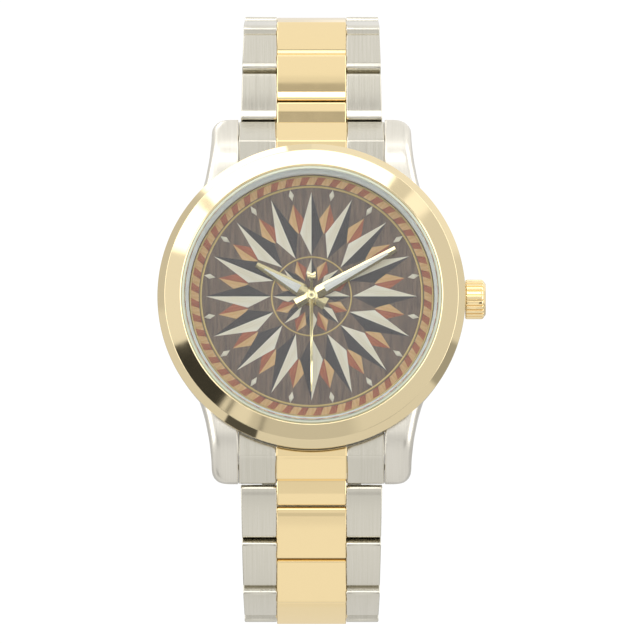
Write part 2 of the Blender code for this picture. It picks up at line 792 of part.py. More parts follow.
def link_end(z, towards):
    """Half an outline round a pin at z. towards is the side that faces the next piece."""
    eye = eye_corner(z + towards * HALF, towards)
    wrist = arc(0, z, HALF, 90 * towards, 0, 5)
    return eye + wrist


def outer_outline():
    """The outer bars' side view, (y, z), with the row's pin at z = 0. The eye is at -y."""
    end = LINK_PITCH - HALF - LINK_GAP
    corner = 0.3 * MM
    points = list(reversed(link_end(0.0, -1))) + eye_corner(end, 1)
    return points + [(HALF - corner, end), (HALF, end - corner)]


def centre_outline():
    """The centre link's side view. It starts past the last row's knuckle, ends round the next pin."""
    start = HALF + LINK_GAP
    corner = 0.3 * MM
    points = [(HALF, start + corner), (HALF - corner, start)]
    return points + list(reversed(eye_corner(start, -1))) + link_end(LINK_PITCH, 1)


def own_pin():
    return (HALF + LINK_PITCH - HALF) / 2 + LINK_GAP


def bracelet_side(side, parent):
    slopes = closed_slopes()
    places = pins(slopes)
    widths = np.linspace(FIRST_ROW_WIDTH, LAST_ROW_WIDTH, len(slopes) + 1)
    inner = CENTRE_WIDTH / 2 + SIDE_GAP
    for k, slope in enumerate(slopes):
        y, z = places[k]
        narrowing = (widths[k] - widths[k + 1]) / 2 / LINK_PITCH
        placing = {"location": (0, y, z), "rotation": (-slope, 0, 0), "parent": parent}
        steel = ladder(
            outer_outline(), [(0, 0), (0, own_pin())], inner, widths[k] / 2,
            narrowing, -HALF, PIN_RADIUS,
        )
        make(f"link_{side}_{k + 1}_outer", steel, "steel", **placing)
        gold = across(
            centre_outline(),
            [circle(0, own_pin(), PIN_BORE), circle(0, LINK_PITCH, PIN_BORE)],
            -CENTRE_WIDTH / 2, CENTRE_WIDTH / 2,
        )
        make(f"link_{side}_{k + 1}_center", gold, "gold", **placing)
    return places[-1]


def spring_bar(side, parent):
    profile = [
        (0, -LUG_WIDTH / 2 - SPRING_BAR_TIP_LENGTH),
        (SPRING_BAR_TIP_RADIUS, -LUG_WIDTH / 2 - SPRING_BAR_TIP_LENGTH),
        (SPRING_BAR_TIP_RADIUS, -LUG_WIDTH / 2 + 0.3 * MM),
        (SPRING_BAR_RADIUS, -LUG_WIDTH / 2 + 0.3 * MM),
    ]
    profile += [(r, -x) for r, x in reversed(profile)]
    place = (0, SPRING_BAR_Y, SPRING_BAR_Z)
    make(f"spring_bar_{side}", to_x(turn_y(profile, SMALL_ROUND)), "steel", place, parent=parent)


def end_top():
    """The end link's front edge, (y, z), from the bezel to the first row."""
    slope = math.radians(END_LINK_SLOPE)
    away = HALF + LINK_GAP
    y = FIRST_PIN_Y - away * math.sin(slope) - HALF * math.cos(slope)
    z = FIRST_PIN_Z - away * math.cos(slope) + HALF * math.sin(slope)
    root = CASE_RADIUS - 5.7 * MM
    flat, bend = LUG_TIP - 4.0 * MM, LUG_TIP - 3.0 * MM
    return [(-5.4 * MM, root), (-5.4 * MM, flat), (-4.7 * MM, bend), (y, z)]


def end_link(side, parent):
    """The solid end link between the lugs: steel sides on a bridge that holds the spring bar."""
    slope = math.radians(END_LINK_SLOPE)
    away = HALF + LINK_GAP
    foot_y = FIRST_PIN_Y - away * math.sin(slope) + 0.75 * MM
    foot_z = FIRST_PIN_Z - away * math.cos(slope) - 0.12 * MM
    root = CASE_RADIUS - 5.7 * MM
    outline = end_top() + [
        (foot_y, foot_z),
        (foot_y - 0.1 * MM, LUG_TIP - 2.5 * MM),
        (-0.15 * MM, LUG_TIP - 3.5 * MM),
        (-0.15 * MM, root),
    ]
    half = LUG_WIDTH / 2 - SIDE_GAP
    bore = circle(SPRING_BAR_Y, SPRING_BAR_Z, SPRING_BAR_RADIUS + 0.08 * MM)
    body = make(f"end_link_{side}", across(outline, [bore], -half, half), "steel", parent=parent)
    hollow = deep(circle(0, 0, CASE_RADIUS + 0.25 * MM, 192), [], -12 * MM, 4 * MM)
    cut(body, make(f"end_hollow_{side}", hollow, "steel", shown=False))
    channel = across(
        [(-9 * MM, root - MM), (BRIDGE_TOP, root - MM), (BRIDGE_TOP, BRIDGE_EDGE),
         (3 * MM, BRIDGE_EDGE), (3 * MM, LUG_TIP + 7 * MM), (-9 * MM, LUG_TIP + 7 * MM)],
        [], -CENTRE_WIDTH / 2 - SIDE_GAP, CENTRE_WIDTH / 2 + SIDE_GAP,
    )
    cut(body, make(f"end_channel_{side}", channel, "steel", shown=False))


def end_center(side, parent):
    """The gold centre of the end link. A seam parts it from the knuckle that takes the first pin."""
    slope = math.radians(END_LINK_SLOPE)
    top = end_top()
    seam = -HALF - LINK_GAP
    knuckle = []
    for y, z in [(-HALF + SEAM_DEPTH, seam), (-HALF, seam + SEAM_DEPTH)] + link_end(0.0, 1):
        knuckle.append((
            FIRST_PIN_Y + y * math.cos(slope) + z * math.sin(slope),
            FIRST_PIN_Z - y * math.sin(slope) + z * math.cos(slope),
        ))
    foot = FIRST_PIN_Y + HALF * math.cos(slope) - 0.9 * MM
    outline = top + knuckle + [
        (foot, BRIDGE_EDGE + 0.55 * MM),
        (BRIDGE_TOP - SIDE_GAP + 1.2 * MM, BRIDGE_EDGE + SIDE_GAP),
        (BRIDGE_TOP - SIDE_GAP, BRIDGE_EDGE + SIDE_GAP),
        (BRIDGE_TOP - SIDE_GAP, CASE_RADIUS - 5.7 * MM),
    ]
    bore = circle(FIRST_PIN_Y, FIRST_PIN_Z, PIN_BORE)
    half = CENTRE_WIDTH / 2
    body = make(f"end_center_{side}", across(outline, [bore], -half, half), "gold", parent=parent)
    hollow = deep(circle(0, 0, CASE_RADIUS + 0.25 * MM, 192), [], -12 * MM, 4 * MM)
    cut(body, make(f"center_hollow_{side}", hollow, "steel", shown=False))


# Clasp, on an arc: u runs from the 12 o'clock pin to the 6 o'clock pin, v points outwards


def clasp_point(u, v, pin_y):
    middle = pin_y - math.sqrt(CLASP_RADIUS**2 - (CLASP_CHORD / 2) ** 2)
    angle = math.asin(CLASP_CHORD / 2 / CLASP_RADIUS) - u / CLASP_RADIUS
    reach = CLASP_RADIUS + v
    return middle + reach * math.cos(angle), reach * math.sin(angle)


def clasp_band(u0, u1, v0, v1, pin_y, origin, steps=8):
    """A curved strip's outline in (y, z), measured from origin."""
    run = np.linspace(u0, u1, steps)
    points = [clasp_point(u, v0, pin_y) for u in run]
    points += [clasp_point(u, v1, pin_y) for u in run[::-1]]
    return [(y - origin[0], z - origin[1]) for y, z in points]


def clasp_cover(pin_y):
    origin = (pin_y, CLASP_CHORD / 2)
    half = COVER_WIDTH / 2
    end = COVER_HINGE[0] + 1.1 * MM
    shell = across(clasp_band(-1.15 * MM, end, -1.0 * MM, 2.55 * MM, pin_y, origin), [], -half, half)
    body = make("clasp_cover", shell, "steel", (0, *origin))
    wall = 0.9 * MM
    hollow = across(
        clasp_band(-4 * MM, end + 4 * MM, -3 * MM, 1.7 * MM, pin_y, origin, 12),
        [], wall - half, half - wall,
    )
    cut(body, make("cover_hollow", hollow, "steel", (0, *origin), shown=False))
    reach = half - wall / 2
    join(body, make("cover_pin", bar_x(0, 0, PIN_RADIUS, -reach, reach), "steel", (0, *origin), shown=False))
    y, z = clasp_point(*COVER_HINGE, pin_y)
    hinge = bar_x(y - origin[0], z - origin[1], 0.5 * MM, -reach, reach)
    join(body, make("cover_hinge_pin", hinge, "steel", (0, *origin), shown=False))


def knuckle_outline(centre, radius, u, v0, v1, pin_y, origin):
    """A tapering ear from a round knuckle to a strip's end."""
    y, z = clasp_point(*centre, pin_y)
    points = circle(y - origin[0], z - origin[1], radius)
    for v in (v0, v1):
        a, b = clasp_point(u, v, pin_y)
        points.append((a - origin[0], b - origin[1]))
    return hull(points)


def drilled(centre, radius, pin_y, origin):
    y, z = clasp_point(*centre, pin_y)
    return circle(y - origin[0], z - origin[1], radius)


def clasp_outer_blade(pin_y):
    origin = clasp_point(*COVER_HINGE, pin_y)
    place = (0, *origin)
    half = BLADE_WIDTH / 2
    low, high = OUTER_BLADE
    strip = across(
        clasp_band(7.0 * MM, COVER_HINGE[0] - 1.2 * MM, low, high, pin_y, origin), [], -half, half
    )
    body = make("clasp_outer_blade", strip, "steel", place)
    barrel = across(
        knuckle_outline(COVER_HINGE, 0.82 * MM, COVER_HINGE[0] - 2 * MM, low, high, pin_y, origin),
        [drilled(COVER_HINGE, 0.57 * MM, pin_y, origin)], 0.01 * MM - half, half - 0.01 * MM,
    )
    join(body, make("blade_barrel", barrel, "steel", place, shown=False))
    ear = knuckle_outline(BLADE_HINGE, 0.85 * MM, 7.8 * MM, low, high, pin_y, origin)
    for side in (-1, 1):
        ends = sorted((side * 3.5 * MM, side * (half - 0.02 * MM)))
        shape = across(ear, [], *ends)
        join(body, make(f"blade_ear_{side + 1}", shape, "steel", place, shown=False))
    y, z = clasp_point(*BLADE_HINGE, pin_y)
    pin = bar_x(y - origin[0], z - origin[1], 0.45 * MM, -4.5 * MM, 4.5 * MM)
    join(body, make("blade_pin", pin, "steel", place, shown=False))


def clasp_inner_blade(pin_y):
    origin = clasp_point(*BLADE_HINGE, pin_y)
    place = (0, *origin)
    half = BLADE_WIDTH / 2
    low, high = INNER_BLADE
    strip = across(
        clasp_band(7.9 * MM, CLASP_LENGTH - 2.7 * MM, low, high, pin_y, origin), [], -half, half
    )
    body = make("clasp_inner_blade", strip, "steel", place)
    tongue = across(
        knuckle_outline(BLADE_HINGE, 0.8 * MM, 8.6 * MM, low, high, pin_y, origin),
        [drilled(BLADE_HINGE, 0.52 * MM, pin_y, origin)], -3.3 * MM, 3.3 * MM,
    )
    join(body, make("blade_tongue", tongue, "steel", place, shown=False))
    end = (CLASP_LENGTH, 0.0)
    ear = knuckle_outline(end, 0.9 * MM, CLASP_LENGTH - 3.6 * MM, low, high, pin_y, origin)
    hole = drilled(end, 0.45 * MM, pin_y, origin)
    for side in (-1, 1):
        ends = sorted((side * (CENTRE_WIDTH / 2 + 0.2 * MM), side * (half - 0.02 * MM)))
        shape = across(ear, [hole], *ends)
        join(body, make(f"end_ear_{side + 1}", shape, "steel", place, shown=False))


def clasp_spring_bar(pin_y):
    """The bar in the last 6 o'clock link, its tips pressed in so that the bracelet can part here."""
    half = CENTRE_WIDTH / 2 - 0.05 * MM
    shape = bar_x(0, 0, PIN_RADIUS, -half, half)
    make("clasp_spring_bar", shape, "steel", (0, pin_y, -CLASP_CHORD / 2))


def main():
    clear_scene()
    bpy.context.scene.unit_settings.scale_length = 1.0
    sides = {}
    for name, turn in (("12", 0.0), ("6", math.pi)):
        holder = bpy.data.objects.new(f"side_{name}", None)
        holder.rotation_euler = (0, turn, 0)
        bpy.context.scene.collection.objects.link(holder)
        sides[name] = holder
    case_back()
    case_back_gasket()
    case_middle()
    crown_tube()
    bezel()
    crystal()
    crystal_gasket()
    flange_ring()
    dial()
    movement_holder()
    movement_module()
    battery()
    hour_hand()
    minute_hand()
    second_hand()
    second_arbor()
    cannon_pinion()
    minute_wheel()
    hour_wheel()
    crown()
    winding_stem()
    setting_lever()
    for name, holder in sides.items():
        spring_bar(name, holder)
        end_link(name, holder)
        end_center(name, holder)
        pin_y, _ = bracelet_side(name, holder)
    clasp_cover(pin_y)
    clasp_outer_blade(pin_y)
    clasp_inner_blade(pin_y)
    clasp_spring_bar(pin_y)


main()
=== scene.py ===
"""The looks of a two-tone wristwatch: a round head on a steel and gold-tone link bracelet that is
closed on its folding clasp. Metres; +Z points to 12 o'clock, +X to the crown, the dial faces -Y.
"""

import json
import math

import bpy
import numpy as np
from mathutils import Matrix, Vector


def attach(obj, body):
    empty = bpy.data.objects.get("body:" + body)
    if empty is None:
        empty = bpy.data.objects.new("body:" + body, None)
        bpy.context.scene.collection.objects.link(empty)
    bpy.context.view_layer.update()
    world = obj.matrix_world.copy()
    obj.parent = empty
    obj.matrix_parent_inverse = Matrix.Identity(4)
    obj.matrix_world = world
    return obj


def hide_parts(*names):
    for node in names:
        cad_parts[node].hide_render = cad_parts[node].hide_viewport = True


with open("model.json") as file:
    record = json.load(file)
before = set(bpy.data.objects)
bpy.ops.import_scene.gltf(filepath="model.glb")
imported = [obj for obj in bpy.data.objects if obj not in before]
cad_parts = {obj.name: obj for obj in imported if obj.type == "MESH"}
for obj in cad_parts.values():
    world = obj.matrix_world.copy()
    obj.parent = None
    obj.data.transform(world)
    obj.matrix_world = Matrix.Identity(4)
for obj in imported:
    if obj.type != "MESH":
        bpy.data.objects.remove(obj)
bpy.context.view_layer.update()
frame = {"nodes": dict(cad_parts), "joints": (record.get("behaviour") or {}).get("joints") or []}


# Case middle
# A ring of 316L stainless steel, turned from a forged blank together with its four lugs. Flank and
# lugs are brushed with a fine belt, which leaves short straight lines along the bracelet.

MM = 0.001
CASE_RADIUS, CASE_BORE, BACK_SEAT = 20.7 * MM, 17.75 * MM, 18.5 * MM
CASE_FRONT, CASE_BACK, BACK_STEP = -6.8 * MM, -0.5 * MM, -1.3 * MM
# The lugs in mm: their inner side, how near the axis their roots come, where their tips begin, the
# tip's corner and its centre. Then how far out the side, front and back lie at each height.
LUG_INNER, LUG_ROOT, LUG_TIP, TIP_CORNER, TIP_CENTRE = 10.0, 17.95, 23.1, 1.9, 11.7
LUG_SIDE = ((12.5, 15.7), (14.5, 15.0), (16.2, 14.5), (19.0, 13.95), (21.6, 13.66), (23.1, 13.6))
LUG_FRONT = (
    (19.0, -6.65), (20.0, -6.45), (21.0, -6.0), (22.4, -5.1), (24.0, -3.9), (24.8, -3.1), (25.0, -2.8),
)
LUG_BACK = ((19.0, -0.5), (22.0, -0.3), (24.2, -0.25), (24.8, -0.5), (25.0, -0.9))


def linear(hex_colour):
    """A screen colour such as #C8C5B9, as the linear colour that the shaders take."""
    parts = [int(hex_colour[i : i + 2], 16) / 255 for i in (1, 3, 5)]
    return tuple(p / 12.92 if p <= 0.04045 else ((p + 0.055) / 1.055) ** 2.4 for p in parts) + (1.0,)


def node(tree, kind, inputs=(), **settings):
    """Adds one node: its settings, and its inputs by name or number. Each is a value, a socket, or
    a node, which stands for its first output."""
    made = tree.nodes.new(kind)
    for key, value in settings.items():
        setattr(made, key, value)
    for key, value in dict(inputs).items():
        value = value.outputs[0] if isinstance(value, bpy.types.Node) else value
        if isinstance(value, bpy.types.NodeSocket):
            tree.links.new(value, made.inputs[key])
        else:
            made.inputs[key].default_value = value
    return made


def shading(material):
    """The material's tree and its shader node."""
    return material.node_tree, material.node_tree.nodes["Principled BSDF"]


def feed(target, key, *sources):
    """Links the nodes' first outputs to one input."""
    for source in sources:
        target.id_data.links.new(source.outputs[0], target.inputs[key])


def finish(name, colour, metallic, roughness, **more):
    """A material with its plain shader values set. More of them go by name, _ for a space."""
    made = bpy.data.materials.new(name)
    made.use_nodes = True
    values = {"Base Color": linear(colour), "Metallic": metallic, "Roughness": roughness}
    values.update((key.replace("_", " "), value) for key, value in more.items())
    for key, value in values.items():
        shading(made)[1].inputs[key].default_value = value
    return made


def two_tones(tree, fac, low, high, tints):
    """A ramp from one tint at low to the other at high."""
    ramp = node(tree, "ShaderNodeValToRGB", {"Fac": fac})
    for element, position, tint in zip(ramp.color_ramp.elements, (low, high), tints):
        element.position, element.color = position, linear(tint)
    return ramp


def lines(material, stretch, low, high, depth, tints=None):
    """Fine lines from stretched noise. stretch is the noise size in mm along each axis; low and
    high are the roughness between lines and on them, depth is the lines' depth in mm."""
    tree, shader = shading(material)
    place = node(tree, "ShaderNodeTexCoord").outputs["Object"]
    scale = [1 / (s * MM) for s in stretch]
    place = node(tree, "ShaderNodeMapping", {"Vector": place, "Scale": scale})
    noise = node(
        tree, "ShaderNodeTexNoise", {"Vector": place, "Scale": 1.0, "Detail": 3.0, "Roughness": 0.6}
    )
    rough = node(
        tree, "ShaderNodeMapRange",
        {"Value": noise, "From Min": 0.3, "From Max": 0.7, "To Min": low, "To Max": high},
    )
    feed(shader, "Roughness", rough)
    bump = node(tree, "ShaderNodeBump", {"Height": noise, "Strength": 1.0, "Distance": depth * MM})
    feed(shader, "Normal", bump)
    if tints:
        feed(shader, "Base Color", two_tones(tree, noise, 0.3, 0.7, tints))


# Stainless steel, brushed: soft grey streaks that run with the bracelet. Real belt lines stand
# 0.05 mm apart, too fine for the render, so they are drawn 0.2 mm apart.
brushed_steel = finish("brushed_stainless_steel", "#D7D3C6", 1.0, 0.3)
lines(brushed_steel, (0.13, 9, 9), 0.14, 0.2, 0.0004, ("#CFCBBE", "#D8D4C8"))
# Stainless steel, satin: the case and its lugs, brushed with a finer belt to an even sheen.
satin_case = finish("satin_stainless_steel", "#DDD9CE", 1.0, 0.33)
lines(satin_case, (0.13, 9, 9), 0.3, 0.36, 0.0003, ("#DAD6CB", "#E1DDD3"))


def soften(corners, steps=4):
    """Rounds the corners of a closed outline. Each corner is (u, v, radius), and each gives
    steps + 1 points, so that outlines of as many corners can be joined."""
    found = []
    count = len(corners)
    for i, (u, v, radius) in enumerate(corners):
        here = Vector((u, v))
        before = Vector(corners[i - 1][:2]) - here
        after = Vector(corners[(i + 1) % count][:2]) - here
        reach = 0.0
        if radius > 0:
            half = before.angle(after) / 2
            reach = min(radius / math.tan(half), 0.48 * min(before.length, after.length))
        start, end = here + before.normalized() * reach, here + after.normalized() * reach
        for k in range(steps + 1):
            t = k / steps
            point = start * (1 - t) ** 2 + here * 2 * t * (1 - t) + end * t**2
            found.append((point.x, point.y))
    return found


def in_mm(corners):
    """Corners given in mm, in metres."""
    return [tuple(size * MM for size in corner) for corner in corners]


def turn(outline, steps=128):
    """A closed (radius, y) outline turned round the watch's own axis."""
    points, rows, faces = [], [], []
    for radius, y in outline:
        if radius < 1e-9:
            rows.append([len(points)] * steps)
            points.append((0.0, y, 0.0))
            continue
        rows.append(list(range(len(points), len(points) + steps)))
        angles = np.arange(steps) * 2 * math.pi / steps
        points += [(radius * math.sin(a), y, radius * math.cos(a)) for a in angles]
    for first, second in zip(rows, rows[1:] + rows[:1]):
        for k in range(steps):
            m = (k + 1) % steps
            ring = [first[k], second[k], second[m], first[m]]
            face = [c for i, c in enumerate(ring) if c != ring[i - 1]]
            if len(face) > 2:
                faces.append(face)
    return points, faces


def loft(loops):
    """A closed skin through loops of as many points each, with a flat face at both ends."""
    count = len(loops[0])
    points = [tuple(p) for loop in loops for p in loop]
    faces = [list(range(count))[::-1], list(range(len(points) - count, len(points)))]
    for row in range(len(loops) - 1):
        for i in range(count):
            m, a = (i + 1) % count, row * count
            faces.append([a + i, a + m, a + count + m, a + count + i])
    return points, faces


def joined(*shapes):
    """Several shapes as one, each turned so that its faces point outwards."""
    points, faces = [], []
    for part, skin in shapes:
        at = np.array(part, float)
        volume = 0.0
        for face in skin:
            for i in range(1, len(face) - 1):
                volume += np.dot(at[face[0]], np.cross(at[face[i]], at[face[i + 1]]))
        base = len(points)
        points += list(part)
        faces += [[base + i for i in (f if volume > 0 else f[::-1])] for f in skin]
    return points, faces


def settle(piece):
    """Turns what the modifiers make into a plain mesh and takes the modifiers off."""
    graph = bpy.context.evaluated_depsgraph_get()
    mesh = bpy.data.meshes.new_from_object(
        piece.evaluated_get(graph), preserve_all_data_layers=True, depsgraph=graph
    )
    mesh.name = piece.name
    piece.modifiers.clear()
    piece.data = mesh
    return piece


def placed_mesh(mesh, material):
    """The mesh as a piece of this material, in the scene under the mesh's own name."""
    mesh.materials.append(material)
    piece = bpy.data.objects.new(mesh.name, mesh)
    bpy.context.scene.collection.objects.link(piece)
    return piece


def ease_edges(piece, edge, segments, angle):
    """Eases the edges sharper than the angle by edge. Broad faces stay flat to the light."""
    if edge:
        ease = piece.modifiers.new("eased_edges", "BEVEL")
        ease.width, ease.segments = edge, segments
        ease.limit_method, ease.angle_limit = "ANGLE", math.radians(angle)
    piece.modifiers.new("flat_faces", "WEIGHTED_NORMAL")
    return settle(piece)


def solid(name, shape, material, edge=0.0, segments=2, angle=35):
    """A piece from points and faces, with eased edges."""
    points, faces = joined(shape)
    mesh = bpy.data.meshes.new(name)
    mesh.from_pydata([tuple(p) for p in points], [], faces)
    mesh.validate()
    mesh.shade_smooth()
    return ease_edges(placed_mesh(mesh, material), edge, segments, angle)


def dress(piece, body, slot_name, *nodes):
    """The piece moves with the body and stands for these CAD nodes."""
    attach(piece, body)
    if nodes:
        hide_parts(*nodes)


case_outline = [
    (BACK_SEAT, CASE_BACK, 0.1 * MM),
    (19.6 * MM, CASE_BACK, 1.2 * MM),
    (CASE_RADIUS, CASE_BACK - 2.0 * MM, 3.0 * MM),
    (CASE_RADIUS, CASE_FRONT, 0.12 * MM),
    (CASE_BORE, CASE_FRONT, 0.1 * MM),
    (CASE_BORE, BACK_STEP, 0.0),
    (BACK_SEAT, BACK_STEP, 0.0),
]
case_ring = turn(soften(case_outline), 192)


def lug(side_x, side_z):
    """One lug, from inside the case wall to its rounded tip."""
    reach = np.concatenate([np.linspace(12.5, 20.5, 9), np.linspace(21.3, LUG_TIP, 4)])
    tip = LUG_TIP + TIP_CORNER * np.sin(np.radians([18, 34, 48, 60, 70, 78, 84, 88, 90]))
    loops = []
    for z in np.concatenate([reach, tip]):
        outer, front, back = (np.interp(z, *zip(*side)) for side in (LUG_SIDE, LUG_FRONT, LUG_BACK))
        if z > LUG_TIP:
            outer = TIP_CENTRE + math.sqrt(max(0.0, TIP_CORNER**2 - (z - LUG_TIP) ** 2)) + 0.001
        inner = max(LUG_INNER, math.sqrt(max(0.0, LUG_ROOT**2 - z**2)))
        width, height = outer - inner, back - front
        limit = 0.45 * min(width, height)
        corners = [
            (inner, front, min(0.3, limit)),
            (outer, front, min(1.5, limit)),
            (outer, back, min(0.8, limit)),
            (inner, back, min(0.3, limit)),
        ]
        loops.append([(side_x * x * MM, y * MM, side_z * z * MM) for x, y in soften(corners, 6)])
    return loft(loops)


lugs = [lug(side_x, side_z) for side_x in (-1, 1) for side_z in (-1, 1)]
dress(
    solid("case_shell", joined(case_ring, *lugs), satin_case), "case", "brushed_steel", "case_middle"
)


# Case back
# A screw-down plate of stainless steel, turned on a lathe, so the tool's fine rings run round it.
# Six shallow notches in its rim take the opening key. Nothing is engraved on it.

NOTCHES, NOTCH_ANGLE = 6, 13.0
BACK_RIM = (15.4 * MM, 17.85 * MM)


def geometry_tree(name, inputs):
    """An empty geometry tree with its named inputs: (tree, input node's sockets, output node)."""
    made = bpy.data.node_groups.new(name, "GeometryNodeTree")
    made.is_modifier = True
    for way in ("INPUT", "OUTPUT"):
        made.interface.new_socket(name="Geometry", in_out=way, socket_type="NodeSocketGeometry")
    for label, (kind, default) in inputs.items():
        socket = made.interface.new_socket(
            name=label, in_out="INPUT", socket_type="NodeSocket" + kind
        )
        if default is not None:
            socket.default_value = default
    return made, node(made, "NodeGroupInput").outputs, node(made, "NodeGroupOutput")


def apply_tree(piece, tree, values):
    """Puts a geometry tree on a piece, with its inputs set by their identifiers."""
    step = piece.modifiers.new(tree.name, "NODES")
    step.node_group = tree
    for item in tree.interface.items_tree:
        if item.in_out == "INPUT" and item.name in values:
            step[item.identifier] = values[item.name]


# Copies of one shape, evenly spaced round an axis through the origin. Each point keeps the place
# that it had before it was copied in "grain", for patterns that turn with the copy.
copies_round, given, result = geometry_tree(
    "copies_round",
    {
        "Count": ("Int", 6),
        "First Angle": ("Float", 0.0),
        "Axis": ("Vector", (0.0, 1.0, 0.0)),
        "Material": ("Material", None),
    },
)
tree = copies_round
place = node(tree, "GeometryNodeInputPosition")
kept = node(
    tree, "GeometryNodeStoreNamedAttribute",
    {"Geometry": given["Geometry"], "Name": "grain", "Value": place},
    data_type="FLOAT_VECTOR", domain="POINT",
)
step_angle = node(tree, "ShaderNodeMath", {0: 2 * math.pi, 1: given["Count"]}, operation="DIVIDE")
number = node(tree, "GeometryNodeInputIndex")
turned_by = node(
    tree, "ShaderNodeMath", {0: number, 1: step_angle, 2: given["First Angle"]},
    operation="MULTIPLY_ADD",
)
rotation = node(
    tree, "ShaderNodeVectorMath", {0: given["Axis"], "Scale": turned_by}, operation="SCALE"
)
spots = node(tree, "GeometryNodePoints", {"Count": given["Count"]})
placed = node(
    tree, "GeometryNodeInstanceOnPoints", {"Points": spots, "Instance": kept, "Rotation": rotation}
)
real = node(tree, "GeometryNodeRealizeInstances", {"Geometry": placed})
coloured = node(
    tree, "GeometryNodeSetMaterial", {"Geometry": real, "Material": given["Material"]}
)
feed(result, 0, coloured)


def ring_of(name, shape, material, count, first=0.0, axis=(0, 1, 0), edge=0.0):
    """The shape, eased, and copied round the axis. first is the first copy's angle in degrees."""
    piece = solid(name, shape, material, edge)
    apply_tree(
        piece, copies_round,
        {"Count": count, "First Angle": math.radians(first), "Axis": axis, "Material": material},
    )
    return settle(piece)


def sector(inner, outer, half_angle, y0, y1):
    """A flat piece of a ring, centred on 12 o'clock, from y0 to y1."""
    angles = np.radians(np.linspace(-half_angle, half_angle, 24))
    flat = [(outer * math.sin(a), outer * math.cos(a)) for a in angles]
    flat += [(inner * math.sin(a), inner * math.cos(a)) for a in angles[::-1]]
    return loft([[(x, y, z) for x, z in flat] for y in (y0, y1)])


# Stainless steel, turned: rings of light that swing round the centre. Feed marks are 0.04 mm
# apart, drawn 0.3 mm apart.
turned_steel = finish("turned_stainless_steel", "#CBC9C2", 1.0, 0.25)
tree, shader = shading(turned_steel)
place = node(tree, "ShaderNodeTexCoord").outputs["Object"]
apart = node(tree, "ShaderNodeSeparateXYZ", {0: place}).outputs
radius = node(
    tree, "ShaderNodeVectorMath",
    {0: node(tree, "ShaderNodeCombineXYZ", {0: apart[0], 2: apart[2]})},
    operation="LENGTH",
).outputs["Value"]
rings = node(
    tree, "ShaderNodeTexNoise",
    {"Vector": node(tree, "ShaderNodeCombineXYZ", {0: radius, 1: apart[1]}),
     "Scale": 3300.0, "Detail": 2.0},
)
rough = node(tree, "ShaderNodeMapRange", {"Value": rings, "To Min": 0.16, "To Max": 0.36})
feed(shader, "Roughness", rough)
bump = node(tree, "ShaderNodeBump", {"Height": rings, "Strength": 1.0, "Distance": 0.0015 * MM})
feed(shader, "Normal", bump)

back_outline = [
    (0.0, 0.0, 0.0),
    (BACK_RIM[0] - 0.25 * MM, 0.0, 0.06 * MM),
    (BACK_RIM[0] - 0.15 * MM, -0.25 * MM, 0.03 * MM),
    (BACK_RIM[1], -0.25 * MM, 0.05 * MM),
]
back_outline += in_mm([(18.3, -0.5, 0.1), (18.3, -1.0, 0.0), (0.0, -1.0, 0.0)])
back_piece = solid("case_back_plate", turn(soften(back_outline, 3)), turned_steel)
rim_piece = ring_of(
    "case_back_rim",
    sector(*BACK_RIM, 180 / NOTCHES - NOTCH_ANGLE / 2, -0.3 * MM, 0.0),
    turned_steel, NOTCHES, edge=0.08 * MM,
)
dress(back_piece, "case", "satin_steel", "case_back")
dress(rim_piece, "case", "satin_steel")


# Inside the case
# A quartz movement in its plastic holder, with the battery, the wheels under the dial, the stem
# and its lever. They are closed in, so the CAD solids stay and only take their finishes.


def refinish(material, *names):
    for name in names:
        slots = frame["nodes"][name].data.materials
        slots.clear()
        slots.append(material)


# Nitrile rubber, moulded: black, dull, with a faint mottle from the mould.
black_rubber = finish("moulded_nitrile_rubber", "#1E1E1F", 0.0, 0.7)
lines(black_rubber, (0.4, 0.4, 0.4), 0.6, 0.8, 0.004)
# Acetal, injection moulded: ivory, half matt.
acetal = finish("moulded_acetal", "#E4E2D6", 0.0, 0.45)
lines(acetal, (0.6, 0.6, 0.6), 0.38, 0.52, 0.003)
# Brass, stamped and grained: warm yellow with short straight scratches.
brass = finish("grained_brass", "#D8B968", 1.0, 0.3)
lines(brass, (0.15, 0.15, 3), 0.22, 0.42, 0.001, ("#CBAA58", "#E0C478"))
# Steel, drawn or turned small: nearly polished.
plain_steel = finish("drawn_stainless_steel", "#C9C8C4", 1.0, 0.2)
lines(plain_steel, (2, 0.12, 0.12), 0.14, 0.28, 0.001)

refinish(black_rubber, "case_back_gasket")
refinish(acetal, "movement_holder")
refinish(brass, "movement_module", "minute_wheel", "hour_wheel")
refinish(
    plain_steel, "battery", "crown_tube", "winding_stem", "setting_lever", "second_arbor",
    "cannon_pinion", "spring_bar_12", "spring_bar_6", "clasp_spring_bar",
)


# Dial
# A brass disc with a printed face under lacquer. The print shows inlaid woods: a sixteen-ray star
# of split kites in a rope border, in walnut, ebony, holly, maple and padauk with gilt lines.

DIAL_FACE, DIAL_THICKNESS = -6.5 * MM, 0.4 * MM
DIAL_RADIUS, DIAL_HOLE = 17.5 * MM, 1.35 * MM
# Each split kite in mm: tip, widest point and foot, all from the centre, and half its width.
LONG_RAY, SHORT_RAY = (14.4, 8.7, 5.6, 1.55), (12.9, 10.3, 8.75, 1.2)
PETAL, STAR_RAY = (5.25, 3.9, 2.3, 0.85), (5.25, 3.2, 1.75, 0.75)
INLAY_BACK, INLAY_RISE, LAYER_RISE = DIAL_FACE + 0.02 * MM, 0.008 * MM, 0.012 * MM
ROPE = [(-0.75, 15.35), (0.35, 15.35), (0.9, 16.4), (-0.2, 16.4)]
LOZENGE = [(0, 13.35), (0.36, 14.15), (0, 14.95), (-0.36, 14.15)]


